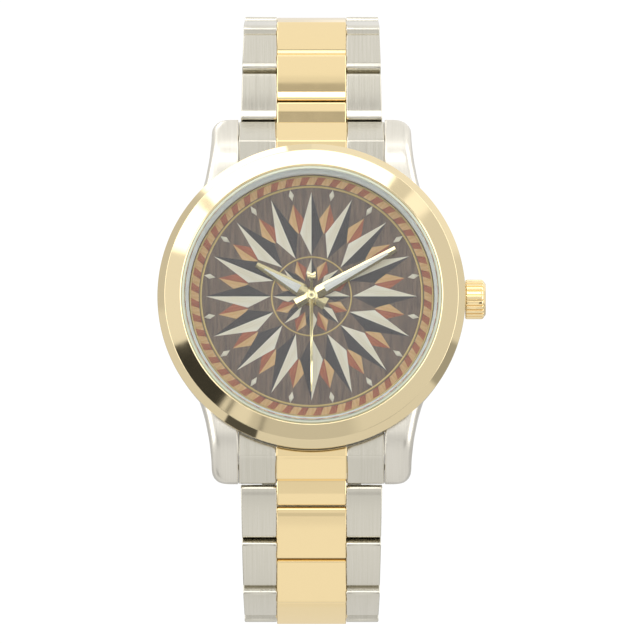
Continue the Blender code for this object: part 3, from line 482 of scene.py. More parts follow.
def wood(name, dark, light, ring_width):
    """A printed wood: grain that runs along each inlay in soft bands, so many mm wide."""
    made = finish(name, light, 0.0, 0.42, Coat_Weight=0.25, Coat_Roughness=0.12)
    tree, shader = shading(made)
    place = node(tree, "ShaderNodeAttribute", attribute_name="grain").outputs["Vector"]
    scale = [1 / (size * ring_width * MM) for size in (1, 1, 9)]
    wide = node(tree, "ShaderNodeMapping", {"Vector": place, "Scale": scale})
    bands = node(
        tree, "ShaderNodeTexNoise",
        {"Vector": wide, "Scale": 1.0, "Detail": 4.0, "Roughness": 0.55, "Distortion": 0.4},
    )
    colour = two_tones(tree, bands, 0.32, 0.68, (dark, light))
    feed(shader, "Base Color", colour)
    return made


# Print of walnut, ebony, holly, maple and padauk under lacquer: low in gloss, a little hazy, with
# the grain lengthwise. Real grain is finer, and is drawn 0.3 to 0.4 mm wide to show.
walnut = wood("printed_walnut", "#5E4A42", "#86705F", 0.35)
ebony = wood("printed_ebony", "#2B2628", "#40383A", 0.3)
holly = wood("printed_holly", "#EFE6CE", "#FBF5E6", 0.4)
maple = wood("printed_maple", "#D3A263", "#E9C48E", 0.35)
padauk = wood("printed_padauk", "#9C4C32", "#C27048", 0.3)
# Gilt print: half metallic, dull, a thin warm line between the woods.
gilt_line = finish("gilt_print", "#CDB578", 0.6, 0.35)

dial_back = DIAL_FACE + DIAL_THICKNESS
dial_outline = [
    (DIAL_HOLE, dial_back), (DIAL_RADIUS, dial_back), (DIAL_RADIUS, DIAL_FACE), (DIAL_HOLE, DIAL_FACE),
]
dial_plate = solid("dial_plate", turn(dial_outline), walnut)
grain = dial_plate.data.attributes.new("grain", "FLOAT_VECTOR", "POINT")
for vertex, value in zip(dial_plate.data.vertices, grain.data):
    value.vector = vertex.co
dress(dial_plate, "case", "dial_finish", "dial")


def plate(flat, front, back):
    """A flat outline in (x, z) mm, from front to back."""
    return loft([[(x * MM, y, z * MM) for x, z in flat] for y in (back, front)])


def inlay(name, flat, material, count, first=0.0, layer=1):
    """Thin inlays from one flat outline at 12 o'clock, copied round the dial."""
    front = DIAL_FACE - INLAY_RISE - LAYER_RISE * layer
    piece = ring_of(name, plate(flat, front, INLAY_BACK), material, count, first)
    dress(piece, "case", "dial_finish")


def split_kites(name, kite, light, dark, count, first=0.0, layer=1):
    """Kites round the dial, each with a light half on its left and a dark half on its right."""
    tip, wide, foot, half = kite
    for half_name, side, material in (("light", -1, light), ("dark", 1, dark)):
        flat = [(0.0, foot), (side * half, wide), (0.0, tip)]
        inlay(f"dial_{name}_{half_name}", flat, material, count, first, layer)


split_kites("long_rays", LONG_RAY, holly, ebony, 16)
split_kites("short_rays", SHORT_RAY, maple, padauk, 16, 11.25, 0)
inlay("dial_rope_light", ROPE, maple, 48)
inlay("dial_rope_dark", ROPE, padauk, 48, 3.75, 0)
inlay("dial_lozenges", LOZENGE, holly, 16, 11.25, 2)
split_kites("petals", PETAL, maple, padauk, 8, 22.5)
split_kites("star", STAR_RAY, holly, ebony, 8, 0.0, 2)
for number, (radius, width) in enumerate(((5.42, 0.1), (15.1, 0.14), (16.55, 0.12))):
    inside, outside = (radius - width) * MM, (radius + width) * MM
    high = DIAL_FACE - 0.045 * MM
    band = turn(
        [(inside, INLAY_BACK), (outside, INLAY_BACK), (outside, high), (inside, high)]
    )
    dress(solid(f"dial_gilt_ring_{number + 1}", band, gilt_line), "case", "dial_finish")


# Flange ring
# The sloping ring between dial and crystal, pressed from brass sheet and lacquered silver-white.
# It sits in the case's bore and holds the dial down.

# Silver-white lacquer, satin: pale, soft, with the cool cast of the glass above it.
silver_lacquer = finish("satin_silver_lacquer", "#F8FCFA", 0.0, 0.4)
lines(silver_lacquer, (0.5, 0.5, 0.5), 0.3, 0.42, 0.0008)
FLANGE_FOOT = DIAL_FACE - 0.05 * MM
flange = [(16.75 * MM, FLANGE_FOOT, 0.02 * MM), (17.6 * MM, FLANGE_FOOT, 0.0)]
flange += in_mm([(17.6, -8.02, 0.0), (17.28, -8.02, 0.04), (16.75, -7.55, 0.04)])
flange = turn(soften(flange, 3), 160)
dress(solid("flange", flange, silver_lacquer), "case", "silver_flange", "flange_ring")


# Hands
# Stamped brass hands, diamond-milled and gold-plated. Hour and minute hands are ridged blades with
# white luminous paint along the ridge, the second hand is a flat needle with a notched square tail.

# Gold plate over brass, milled bright: pale yellow, nearly a mirror.
hand_gold = finish("bright_gold_plate", "#EBDDAE", 1.0, 0.14)
lines(hand_gold, (0.5, 0.5, 0.5), 0.1, 0.16, 0.0002)
# Luminous paint, dried in place: chalk white, matt, faintly grainy.
lume = finish("luminous_paint", "#FBFBF8", 0.0, 0.6)
lines(lume, (0.15, 0.15, 0.15), 0.5, 0.7, 0.003)

ROOF_FALL = 0.32
NEEDLE = [(-0.24, 0.5), (-0.1, 13.3), (0.1, 13.3), (0.24, 0.5), (0.16, -2.2), (-0.16, -2.2)]
TAIL_LEFT = [(-0.57, -3.3), (-0.57, -2.2), (0.0, -2.2), (0.0, -2.95)]
TAIL_RIGHT = [(0.0, -2.95), (0.0, -2.2), (0.57, -2.2), (0.57, -3.3)]


def clock(points, degrees):
    """Turns points clockwise as seen from the front."""
    a = math.radians(degrees)
    c, s = math.cos(a), math.sin(a)
    return [(x * c + z * s, y, -x * s + z * c) for x, y, z in points]


def roofed(half_outline, front, back):
    """A plate with a ridge along its middle, and both sides falling away from it. half_outline is
    its right edge as (x, z) mm from tip to tail."""
    points, faces = [], []
    for x, z in half_outline:
        edge = front + ROOF_FALL * x * MM
        points += [(x * MM, back, z * MM), (x * MM, edge, z * MM), (0, front, z * MM)]
        points += [(-x * MM, edge, z * MM), (-x * MM, back, z * MM)]
    for row in range(len(half_outline) - 1):
        for i in range(5):
            a, b = row * 5 + i, row * 5 + (i + 1) % 5
            faces.append([a, b, b + 5, a + 5])
    last = len(points) - 5
    return points, faces + [[4, 3, 2, 1, 0], [last + i for i in range(5)]]


def hand(name, tip, tail, half, half_tip, hub, front, angle, paint):
    """A ridged hand with a hub, and the paint along its ridge. All but front is in mm: tip and tail
    from the axis, half its width at the hub and the tip, the paint's (height, half width) ends."""
    body = name.split("_")[0]
    back = front + 0.34 * half * MM
    outline = [
        (half_tip, tip), (half, hub * 1.4), (half * 0.66, hub * 0.45), (half * 0.64, -hub * 0.5),
        (half * 0.9, -tail),
    ]
    blade = roofed(outline, front, back)
    rim = hub * 0.9 * MM
    disc = turn([(0.0, front + 0.02 * MM), (rim, front + 0.06 * MM), (rim, back), (0.0, back)], 48)
    points, faces = joined(blade, disc)
    dress(
        solid(name + "_plated", (clock(points, angle), faces), hand_gold, 0.012 * MM, 1),
        body, "gold_hands", name,
    )
    (low, wide), (high, narrow) = paint
    points, faces = roofed([(narrow, high), (wide, low)], front - 0.016 * MM, front + 0.25 * MM)
    strip = solid(name + "_paint", (clock(points, angle), faces), lume, 0.01 * MM, 1)
    dress(strip, body, "gold_hands")


hand(
    "hour_hand", tip=8.65, tail=2.25, half=1.0, half_tip=0.36, hub=1.08,
    front=-7.12 * MM, angle=300.0, paint=((1.95, 0.6), (7.4, 0.08)),
)
hand(
    "minute_hand", tip=13.15, tail=2.4, half=0.85, half_tip=0.42, hub=0.9,
    front=-7.5 * MM, angle=60.8, paint=((2.05, 0.5), (11.9, 0.16)),
)

HUB = in_mm(
    [(0, -7.9, 0), (0.1, -7.97, 0), (0.5, -7.99, 0.06), (0.74, -7.9, 0.04), (0.74, -7.77, 0),
     (0, -7.77, 0)]
)
plates = [plate(flat, -7.95 * MM, -7.77 * MM) for flat in (NEEDLE, TAIL_LEFT, TAIL_RIGHT)]
points, faces = joined(*plates, turn(soften(HUB, 3), 48))
dress(
    solid("second_hand_plated", (clock(points, 180.0), faces), hand_gold, 0.02 * MM),
    "second", "gold_hands", "second_hand",
)


# Bezel, crystal and its gasket
# The bezel is a ring of stainless steel, turned with two flat slopes, polished to a mirror and
# coated pale gold. It holds the flat mineral crystal in a pressed-in gasket.

# Titanium nitride gold coat on polished steel: pale champagne, a mirror with a trace of haze.
champagne = finish("polished_champagne_gold_coat", "#E7D6AE", 1.0, 0.05)
lines(champagne, (4, 4, 4), 0.035, 0.07, 0.001)
BEZEL = in_mm(
    [(17.68, -6.9, 0), (21.0, -6.9, 0.08), (21.0, -7.3, 0.15), (20.0, -8.5, 0.14),
     (17.95, -9.0, 0.1), (17.68, -8.85, 0.05)]
)
bezel_ring = solid("bezel_ring", turn(soften(BEZEL), 256), champagne)
dress(bezel_ring, "case", "gold_tone", "bezel")

# Mineral glass, ground and polished: clear, with a faint mirror in front.
mineral_glass = finish(
    "polished_mineral_glass", "#FCFEFD", 0.0, 0.0, Transmission_Weight=1.0, IOR=1.5
)
# Its edge is left ground: frosted, pale and faintly green.
ground_edge = finish("ground_glass_edge", "#DCE6DF", 0.0, 0.7)
GLASS = in_mm(
    [(0, -8.1, 0), (17.3, -8.1, 0), (17.3, -9.18, 0.03), (17.18, -9.3, 0.03), (0, -9.3, 0)]
)
crystal_glass = solid("crystal_glass", turn(soften(GLASS, 2), 160), mineral_glass)
crystal_glass.data.materials.append(ground_edge)
for polygon in crystal_glass.data.polygons:
    outward = math.hypot(polygon.normal.x, polygon.normal.z)
    polygon.material_index = 1 if outward > 0.9 and polygon.center.xz.length > 17 * MM else 0
dress(crystal_glass, "case", "crystal", "crystal")

# Polyester elastomer, moulded: a soft greyish ivory ring pressed in round the glass.
gasket_plastic = finish("moulded_ivory_elastomer", "#C9CDBC", 0.0, 0.45)
lines(gasket_plastic, (0.6, 0.6, 0.6), 0.4, 0.55, 0.001)
GASKET = in_mm(
    [(17.32, -8.1), (17.67, -8.1), (17.67, -8.84), (17.6, -8.93), (17.38, -8.93), (17.32, -8.88)]
)
gasket = solid("crystal_gasket_ring", turn(GASKET, 192), gasket_plastic)
dress(gasket, "case", "pale_plastic", "crystal_gasket")


# Crown
# Turned from stainless steel, knurled with twenty-four ridges for the fingers and coated gold.

CROWN_Y, CROWN_INNER, CROWN_OUTER = -4.1 * MM, 20.95 * MM, 23.75 * MM
CORE_RADIUS = 2.45 * MM
# The ridges in mm: how far out they begin and end, and half their width there. Then how far along
# the crown each section lies, and how much it rises above the full height.
RIDGE_FOOT, RIDGE_TOP, FOOT_HALF, TOP_HALF, RIDGES = 2.3, 2.7, 0.27, 0.24, 24
RIDGE_STATIONS = ((0.0, -0.16), (0.12, -0.03), (0.25, 0.0), (2.2, 0.0), (2.4, -0.06), (2.52, -0.22))

# The warmer gold coat of crown and links, polished.
warm_gold = finish("polished_warm_gold_coat", "#F5DEAC", 1.0, 0.1)
lines(warm_gold, (3, 3, 3), 0.05, 0.09, 0.001)


def along_x(outline):
    """A closed (radius, x) outline turned round the crown's own axis."""
    points, faces = turn(outline, 64)
    return [(y, -x, z) for x, y, z in points], faces


core = [
    (0.0, CROWN_INNER, 0.0),
    (CORE_RADIUS, CROWN_INNER, 0.1 * MM),
    (CORE_RADIUS, CROWN_OUTER - 0.4 * MM, 0.0),
    (2.42 * MM, CROWN_OUTER - 0.25 * MM, 0.05 * MM),
    (2.1 * MM, CROWN_OUTER, 0.12 * MM),
    (0.0, CROWN_OUTER, 0.0),
]
core_points, core_faces = along_x(soften(core))
ridge_loops = []
for x, lift in RIDGE_STATIONS:
    top = RIDGE_TOP + lift
    ends = [(-FOOT_HALF, RIDGE_FOOT, 0.0), (-TOP_HALF, top, 0.1)]
    ends += [(TOP_HALF, top, 0.1), (FOOT_HALF, RIDGE_FOOT, 0.0)]
    section = soften(ends, 3)
    ridge_loops.append([(CROWN_INNER + x * MM, a * MM, b * MM) for a, b in section])
ridges = ring_of("crown_ridges", loft(ridge_loops), warm_gold, RIDGES, 3.75, (1, 0, 0))
ridges.data.transform(Matrix.Translation((0, CROWN_Y, 0)))
crown_core = solid(
    "crown_core", ([(x, y + CROWN_Y, z) for x, y, z in core_points], core_faces), warm_gold
)
dress(crown_core, "crown_and_stem", "gold_tone", "crown")
dress(ridges, "crown_and_stem", "gold_tone")


# End links
# Solid end links of stainless steel between the lugs, hollowed to the case's curve, with a gold-tone
# centre. The face near the bezel is flat, then it slopes down to the first row of links.

# Half the links' thickness, half the gold centre's width, and the gap beside it.
HALF, CENTRE_HALF, SIDE_GAP = 1.4 * MM, 4.725 * MM, 0.1 * MM
END_LINK_SIDE = 9.96 * MM
joint_at = {joint["name"]: joint.get("pos_m") for joint in frame["joints"]}
FIRST_PIN = Vector(joint_at["pivot_12_1"][1:])
END_SLOPE = math.radians(8)
KNUCKLE_SLOPE = math.radians(17.5)
SEAM = -HALF - 0.12 * MM
HEAD_HOLLOW = 20.95 * MM
EASE = 0.13 * MM


def by_pin(along, out, radius, slope=END_SLOPE):
    """A corner so far past the first pin and so far out from it, with both taken on the slope."""
    cos, sin = math.cos(slope), math.sin(slope)
    return (FIRST_PIN.x - out * cos + along * sin, FIRST_PIN.y + out * sin + along * cos, radius)


def end_section(x, inset, top=None):
    """The side view of the end link at x as (y, z), its outer faces eased inwards by inset. The
    gold centre stands prouder, with its top edge given."""
    root = math.sqrt(HEAD_HOLLOW**2 - x**2) + inset
    y, z, radius = top or by_pin(SEAM - inset, HALF - inset, 0.5 * MM)
    return soften(
        [
            (-0.3 * MM - inset, root, 0.1 * MM),
            (-5.4 * MM + inset, root, 0.12 * MM),
            (-5.4 * MM + inset, max(root + 0.5 * MM, 21.75 * MM), 0.3 * MM),
            (-4.95 * MM + inset, 22.15 * MM, 0.3 * MM),
            (y + (inset if top else 0.0), z, radius),
            by_pin(SEAM - inset, -0.3 * MM, 0.1 * MM),
            (-0.6 * MM, 23.4 * MM, 0.1 * MM),
            (-0.3 * MM - inset, 22.6 * MM, 0.1 * MM),
        ]
    )


def slab_section(x, inset):
    """The same for the gold centre."""
    return end_section(x, inset, (-3.1 * MM, 24.6 * MM, 0.35 * MM))


def knuckle_section(x, inset):
    """The side view of the short link round the first pin. Its face bows up from the slab."""
    corners = (
        (-2.4 * MM, HALF - 0.06 * MM - inset, 0.2 * MM),
        (-0.3 * MM, HALF + 0.02 * MM - inset, 5.0 * MM),
        (1.25 * MM - inset, HALF - 0.06 * MM - inset, 0.45 * MM),
        (1.3 * MM - inset, inset - HALF, 1.2 * MM),
        (-0.2 * MM, inset - HALF, 0.4 * MM),
        (-1.4 * MM, -0.1 * MM, 0.2 * MM),
    )
    return soften([by_pin(*corner, KNUCKLE_SLOPE) for corner in corners], 8)


def across(section, x0, x1, side_z):
    """A bar with this side view from x0 to x1, its edges eased."""
    ends = [(0.0, EASE), (EASE * 0.3, EASE * 0.3), (EASE, 0.0), (EASE * 1.4, 0.0)]
    stations = [(x0 + reach, inset) for reach, inset in ends]
    stations += [(x, 0.0) for x in np.linspace(x0 + EASE, x1 - EASE, 9)[1:-1]]
    stations += [(x1 - reach, inset) for reach, inset in ends[::-1]]
    return loft([[(side_z * x, y, side_z * z) for y, z in section(x, inset)] for x, inset in stations])


for side, side_z in (("12", 1), ("6", -1)):
    outer, inner = END_LINK_SIDE, CENTRE_HALF + SIDE_GAP
    pair = joined(across(end_section, -outer, -inner, side_z), across(end_section, inner, outer, side_z))
    steel = solid(f"end_link_{side}_steel", pair, brushed_steel)
    dress(steel, "case", "brushed_steel", f"end_link_{side}")
    middle = across(slab_section, -inner + 0.02 * MM, inner - 0.02 * MM, side_z)
    gold = solid(f"end_link_{side}_gold", middle, warm_gold)
    dress(gold, "case", "gold_tone", f"end_center_{side}")
    knuckle = across(knuckle_section, -CENTRE_HALF, CENTRE_HALF, side_z)
    dress(solid(f"end_knuckle_{side}_gold", knuckle, warm_gold), "case", "gold_tone")


# Bracelet rows
# Fourteen rows, each a pair of brushed steel bars on two pins with a polished gold-tone link
# between them. Bars and links are cut from rolled profile, their ends rounded towards the wrist.

GAP, PITCH, ROWS = 0.12 * MM, 7.25 * MM, 7
WIDTH_AT_HEAD, WIDTH_AT_CLASP, PIN_RADIUS = 19.3 * MM, 17.0 * MM, 0.6 * MM
# How much the faces bow, how far back and how deep they roll over near the head, and roundings.
CROWNING, ROLL_REACH, ROLL_DEPTH = 0.14 * MM, 1.35 * MM, 0.17 * MM
END_ROUND, HEEL_ROUND, INNER_ROUND = 0.45 * MM, 1.35 * MM, 0.3 * MM

# One bar or link: the side view is given as a loop of edges with a "corner" radius at each point,
# rounded, filled, pulled out sideways, and for a pair mirrored and joined by its pins.
bracelet_link, given, result = geometry_tree(
    "bracelet_link",
    {
        "Inner": ("Float", 0.005),
        "Outer": ("Float", 0.0095),
        "Narrowing": ("Float", 0.0),
        "Start": ("Float", 0.0),
        "Pair": ("Bool", True),
        "Pin Radius": ("Float", 0.0006),
        "Second Pin": ("Float", 0.0037),
        "Material": ("Material", None),
    },
)
tree = bracelet_link
corner = node(tree, "GeometryNodeInputNamedAttribute", {"Name": "corner"}, data_type="FLOAT")
loop = node(tree, "GeometryNodeMeshToCurve", {"Mesh": given["Geometry"]})
rounded = node(
    tree, "GeometryNodeFilletCurve",
    {"Curve": loop, "Radius": corner, "Limit Radius": True, "Count": 8}, mode="POLY",
)
face = node(tree, "GeometryNodeFillCurve", {"Curve": rounded}, mode="NGONS")
lift = node(tree, "ShaderNodeCombineXYZ", {2: given["Inner"]})
lifted = node(tree, "GeometryNodeTransform", {"Geometry": face, "Translation": lift})
width = node(tree, "ShaderNodeMath", {0: given["Outer"], 1: given["Inner"]}, operation="SUBTRACT")
pulled = node(
    tree, "GeometryNodeExtrudeMesh",
    {"Mesh": lifted, "Offset": (0.0, 0.0, 1.0), "Offset Scale": width, "Individual": False},
    mode="FACES",
)
place = node(tree, "GeometryNodeInputPosition")
apart = node(tree, "ShaderNodeSeparateXYZ", {0: place}).outputs
past = node(tree, "ShaderNodeMath", {0: given["Start"], 1: apart[1]}, operation="SUBTRACT")
drawn = node(tree, "ShaderNodeMath", {0: past, 1: given["Narrowing"]}, operation="MULTIPLY")
taper = node(tree, "ShaderNodeCombineXYZ", {2: drawn})
tapered = node(
    tree, "GeometryNodeSetPosition",
    {"Geometry": pulled, "Selection": pulled.outputs["Top"], "Offset": taper},
)
closing = node(tree, "GeometryNodeFlipFaces", {"Mesh": lifted})
both = node(tree, "GeometryNodeJoinGeometry")
feed(both, 0, tapered, closing)
bar = node(tree, "GeometryNodeMergeByDistance", {"Geometry": both, "Distance": 1e-6})
mirrored = node(tree, "GeometryNodeTransform", {"Geometry": bar, "Scale": (1, 1, -1)})
mirrored = node(tree, "GeometryNodeFlipFaces", {"Mesh": mirrored})
reach = node(tree, "ShaderNodeMath", {0: given["Outer"], 1: given["Inner"]}, operation="ADD")
first_pin = node(
    tree, "GeometryNodeMeshCylinder",
    {"Vertices": 16, "Radius": given["Pin Radius"], "Depth": reach},
)
shift = node(tree, "ShaderNodeCombineXYZ", {1: given["Second Pin"]})
second_pin = node(tree, "GeometryNodeTransform", {"Geometry": first_pin, "Translation": shift})
row = node(tree, "GeometryNodeJoinGeometry")
feed(row, 0, bar, mirrored, first_pin, second_pin)
chosen = node(
    tree, "GeometryNodeSwitch",
    {"Switch": given["Pair"], "False": bar, "True": row}, input_type="GEOMETRY",
)
stand = node(tree, "ShaderNodeCombineXYZ", {0: apart[2], 1: apart[0], 2: apart[1]})
stood = node(tree, "GeometryNodeSetPosition", {"Geometry": chosen, "Position": stand})
real = node(tree, "GeometryNodeRealizeInstances", {"Geometry": stood})
smooth = node(tree, "GeometryNodeSetShadeSmooth", {"Geometry": real})
coloured = node(
    tree, "GeometryNodeSetMaterial", {"Geometry": smooth, "Material": given["Material"]}
)
feed(result, 0, coloured)


def link_piece(name, side_view, material, placing, **sizes):
    """One link: side_view is (y, z, corner radius) round the first pin, placing is where it goes,
    and sizes are the tree's inputs, _ for a space."""
    mesh = bpy.data.meshes.new(name)
    count = len(side_view)
    edges = [(i, (i + 1) % count) for i in range(count)]
    mesh.from_pydata([(a, b, 0) for a, b, _ in side_view], edges, [])
    radii = mesh.attributes.new("corner", "FLOAT", "POINT")
    for value, (_, _, radius) in zip(radii.data, side_view):
        value.value = radius
    piece = placed_mesh(mesh, material)
    values = {key.replace("_", " "): value for key, value in sizes.items()}
    apply_tree(piece, bracelet_link, values | {"Material": material})
    ease_edges(piece, EASE, 3, 50)
    piece.data.transform(placing)
    return piece


def crowned(start, end):
    """The face towards the eye, bowed along its length and rolled over near the head."""
    found = []
    for d in [step * MM for step in (0.45, 0.65, 0.85, 1.05, 1.25, 2.2, 3.2, 4.2, 5.2, 6.2)]:
        t = d / (end - start)
        roll = max(0.0, 1 - d / ROLL_REACH) ** 2
        found.append((-HALF + CROWNING * (2 * t - 1) ** 2 + ROLL_DEPTH * roll, start + d, 0.0))
    return found


BAR_END = PITCH - HALF - GAP
bar_view = [(-HALF + CROWNING + ROLL_DEPTH, -HALF, END_ROUND)]
bar_view += crowned(-HALF, BAR_END)
bar_view += [
    (-HALF + CROWNING, BAR_END, END_ROUND),
    (HALF, BAR_END, INNER_ROUND),
    (HALF, -HALF, HEEL_ROUND),
]
centre_view = [(-HALF + CROWNING + ROLL_DEPTH, HALF + GAP, END_ROUND)]
centre_view += crowned(HALF + GAP, PITCH + HALF)
centre_view += [
    (-HALF + CROWNING, PITCH + HALF, END_ROUND),
    (HALF, PITCH + HALF, HEEL_ROUND),
    (HALF, HALF + GAP, INNER_ROUND),
]
widths = np.linspace(WIDTH_AT_HEAD, WIDTH_AT_CLASP, ROWS + 1)
pins = [Vector(joint_at[f"pivot_12_{k + 1}"][1:]) for k in range(ROWS)]
pins.append(Vector(joint_at["cover_pivot"][1:]))
for side in ("12", "6"):
    half_turn = Matrix.Rotation(math.pi if side == "6" else 0.0, 4, "Y")
    for k in range(ROWS):
        run = pins[k + 1] - pins[k]
        slope = math.atan2(run.x, run.y)
        placing = (
            half_turn @ Matrix.Translation((0, pins[k].x, pins[k].y)) @ Matrix.Rotation(-slope, 4, "X")
        )
        body = f"row_{side}_{k + 1}"
        bars = link_piece(
            f"row_{side}_{k + 1}_steel", bar_view, brushed_steel, placing,
            Inner=CENTRE_HALF + 0.03 * MM, Outer=float(widths[k] / 2), Pair=True,
            Narrowing=float((widths[k] - widths[k + 1]) / 2 / PITCH), Start=-HALF,
            Pin_Radius=PIN_RADIUS, Second_Pin=PITCH / 2 + GAP,
        )
        dress(bars, body, "brushed_steel", f"link_{side}_{k + 1}_outer")
        centre = link_piece(
            f"row_{side}_{k + 1}_gold", centre_view, warm_gold, placing,
            Inner=-CENTRE_HALF, Outer=CENTRE_HALF, Pair=False,
        )
        dress(centre, body, "gold_tone", f"link_{side}_{k + 1}_center")


# Folding clasp
# A cover pressed from stainless sheet, brushed on top, over two curved blades that fold flat on each
# other. The cover hangs on the last 12 o'clock row, the inner blade on the last 6 o'clock row.

CHORD, RISE = 42.0 * MM, 1.6 * MM
BOW = CHORD**2 / (8 * RISE) + RISE / 2
BOW_LENGTH = 2 * BOW * math.asin(CHORD / 2 / BOW)
COVER_PIN = (BOW_LENGTH - 4.2 * MM, 0.85 * MM)
BLADE_PIN = (4.7 * MM, 0.15 * MM)
COVER_HALF, COVER_WALL = 8.6 * MM, 0.9 * MM
BLADE_HALF, EAR_SIDE = 6.9 * MM, 6.85 * MM


def on_bow(u, v):
    """(y, z) of the point u along the clasp's curve from the 12 o'clock pin, v outside it."""
    middle = pins[-1].x - math.sqrt(BOW**2 - (CHORD / 2) ** 2)
    angle = math.asin(CHORD / 2 / BOW) - u / BOW
    return middle + (BOW + v) * math.cos(angle), (BOW + v) * math.sin(angle)


def strip(section, stations):
    """A section of (x, v) corners swept along the bow. stations are (u, how far it is drawn in)."""
    return loft([[(x, *on_bow(u, v)) for x, v in section(inset)] for u, inset in stations])


def run_of(u0, u1, ease):
    """Stations from u0 to u1 with eased ends."""
    ends = [(0.0, 1.0), (0.3, 0.3), (1.0, 0.0)]
    found = [(u0 + ease * a, ease * b) for a, b in ends]
    found += [(u, 0.0) for u in np.linspace(u0 + ease, u1 - ease, 14)[1:-1]]
    return found + [(u1 - ease * a, ease * b) for a, b in ends[::-1]]


def cover_section(inset):
    side, within = COVER_HALF - inset, COVER_HALF - COVER_WALL
    foot, top = -1.0 * MM + inset, 2.55 * MM - inset
    edge, shoulder, fillet = 0.15 * MM, 0.55 * MM, 0.2 * MM
    return soften(
        [
            (-side, foot, edge), (-side, top, shoulder), (side, top, shoulder), (side, foot, edge),
            (within, foot, edge), (within, 1.7 * MM, fillet), (-within, 1.7 * MM, fillet),
            (-within, foot, edge),
        ]
    )


def round_pin(at, radius):
    """(y, z) points on a circle round the point (u, v)."""
    y, z = on_bow(*at)
    angles = np.arange(24) * 2 * math.pi / 24
    return [(y + radius * math.cos(a), z + radius * math.sin(a)) for a in angles]


def between(outline, x0, x1):
    """A (y, z) outline, from x0 to x1."""
    return loft([[(x, y, z) for y, z in outline] for x in (x0, x1)])


def cross_bar(at, radius, reach):
    """A round bar across the clasp at (u, v)."""
    return between(round_pin(at, radius), -reach, reach)


cover = joined(
    strip(cover_section, run_of(-1.15 * MM, COVER_PIN[0] + 1.1 * MM, 0.2 * MM)),
    cross_bar((0.0, 0.0), 0.6 * MM, 8.2 * MM),
    cross_bar(COVER_PIN, 0.5 * MM, 8.2 * MM),
)
dress(solid("clasp_cover_dressed", cover, brushed_steel), "cover", "satin_steel", "clasp_cover")

# Stainless steel strip, satin: the blades' rolled surface, plain and a little darker.
satin_strip = finish("satin_stainless_strip", "#BDBBB4", 1.0, 0.3)
lines(satin_strip, (0.25, 6, 6), 0.24, 0.38, 0.0015)


def blade_section(low, high):
    """A function that gives the blade's section, drawn in by so much."""
    def section(inset):
        half, foot, top = BLADE_HALF - inset, low + inset, high - inset
        corners = ((-half, foot), (-half, top), (half, top), (half, foot))
        return soften([(x, v, 0.2 * MM) for x, v in corners])
    return section


def ear(at, radius, u, low, high, x0, x1):
    """A rounded ear from a pin to the end of a blade."""
    return between(hull(round_pin(at, radius) + [on_bow(u, low), on_bow(u, high)]), x0, x1)


def hull(points):
    """The convex outline round the points."""
    ordered = sorted(set(points))
    found = []
    for run in (ordered, ordered[::-1]):
        half = []
        for y, z in run:
            while len(half) > 1:
                (ay, az), (by, bz) = half[-2:]
                if (by - ay) * (z - az) - (bz - az) * (y - ay) > 1e-14:
                    break
                half.pop()
            half.append((y, z))
        found += half[:-1]
    return found


# Each blade's underside and top over the bow, and the sides of its ears.
OUTER_SHEET, INNER_SHEET = (0.45 * MM, 1.25 * MM), (-0.85 * MM, -0.05 * MM)
FORK_SIDE, TONGUE_SIDE, HOOK_SIDE = 3.5 * MM, 3.3 * MM, 4.93 * MM
HOOK_PIN, HOOK_ROOT = (BOW_LENGTH, 0.0), BOW_LENGTH - 3.6 * MM

outer_blade = joined(
    strip(blade_section(*OUTER_SHEET), run_of(7.0 * MM, COVER_PIN[0] - 1.2 * MM, 0.12 * MM)),
    ear(COVER_PIN, 0.82 * MM, COVER_PIN[0] - 2 * MM, *OUTER_SHEET, -EAR_SIDE, EAR_SIDE),
    ear(BLADE_PIN, 0.85 * MM, 7.8 * MM, *OUTER_SHEET, -EAR_SIDE, -FORK_SIDE),
    ear(BLADE_PIN, 0.85 * MM, 7.8 * MM, *OUTER_SHEET, FORK_SIDE, EAR_SIDE),
    cross_bar(BLADE_PIN, 0.45 * MM, 4.5 * MM),
)
inner_blade = joined(
    strip(blade_section(*INNER_SHEET), run_of(7.9 * MM, BOW_LENGTH - 2.7 * MM, 0.12 * MM)),
    ear(BLADE_PIN, 0.8 * MM, 8.6 * MM, *INNER_SHEET, -TONGUE_SIDE, TONGUE_SIDE),
    ear(HOOK_PIN, 0.9 * MM, HOOK_ROOT, *INNER_SHEET, -EAR_SIDE, -HOOK_SIDE),
    ear(HOOK_PIN, 0.9 * MM, HOOK_ROOT, *INNER_SHEET, HOOK_SIDE, EAR_SIDE),
)
for body, shape in (("outer_blade", outer_blade), ("inner_blade", inner_blade)):
    blade = solid(f"clasp_{body}_dressed", shape, satin_strip, 0.05 * MM, angle=50)
    dress(blade, body, "plain_steel", f"clasp_{body}")


# Studio
# The photograph shows no floor and no shadow, only white. White card stands all round, a brighter
# one above the lens. Dark strips between the cards give the polished gold its edges.

world = bpy.data.worlds.new("white_cards")
bpy.context.scene.world = world
world.use_nodes = True
tree = world.node_tree
tree.nodes.clear()
direction = node(tree, "ShaderNodeTexCoord").outputs["Generated"]
apart = node(tree, "ShaderNodeSeparateXYZ", {0: direction}).outputs
height = node(tree, "ShaderNodeMath", {0: apart[2]}, operation="ARCSINE")
front = node(tree, "ShaderNodeMath", {0: apart[1], 1: -1.0}, operation="MULTIPLY")
bearing = node(tree, "ShaderNodeMath", {0: apart[0], 1: front}, operation="ARCTAN2")


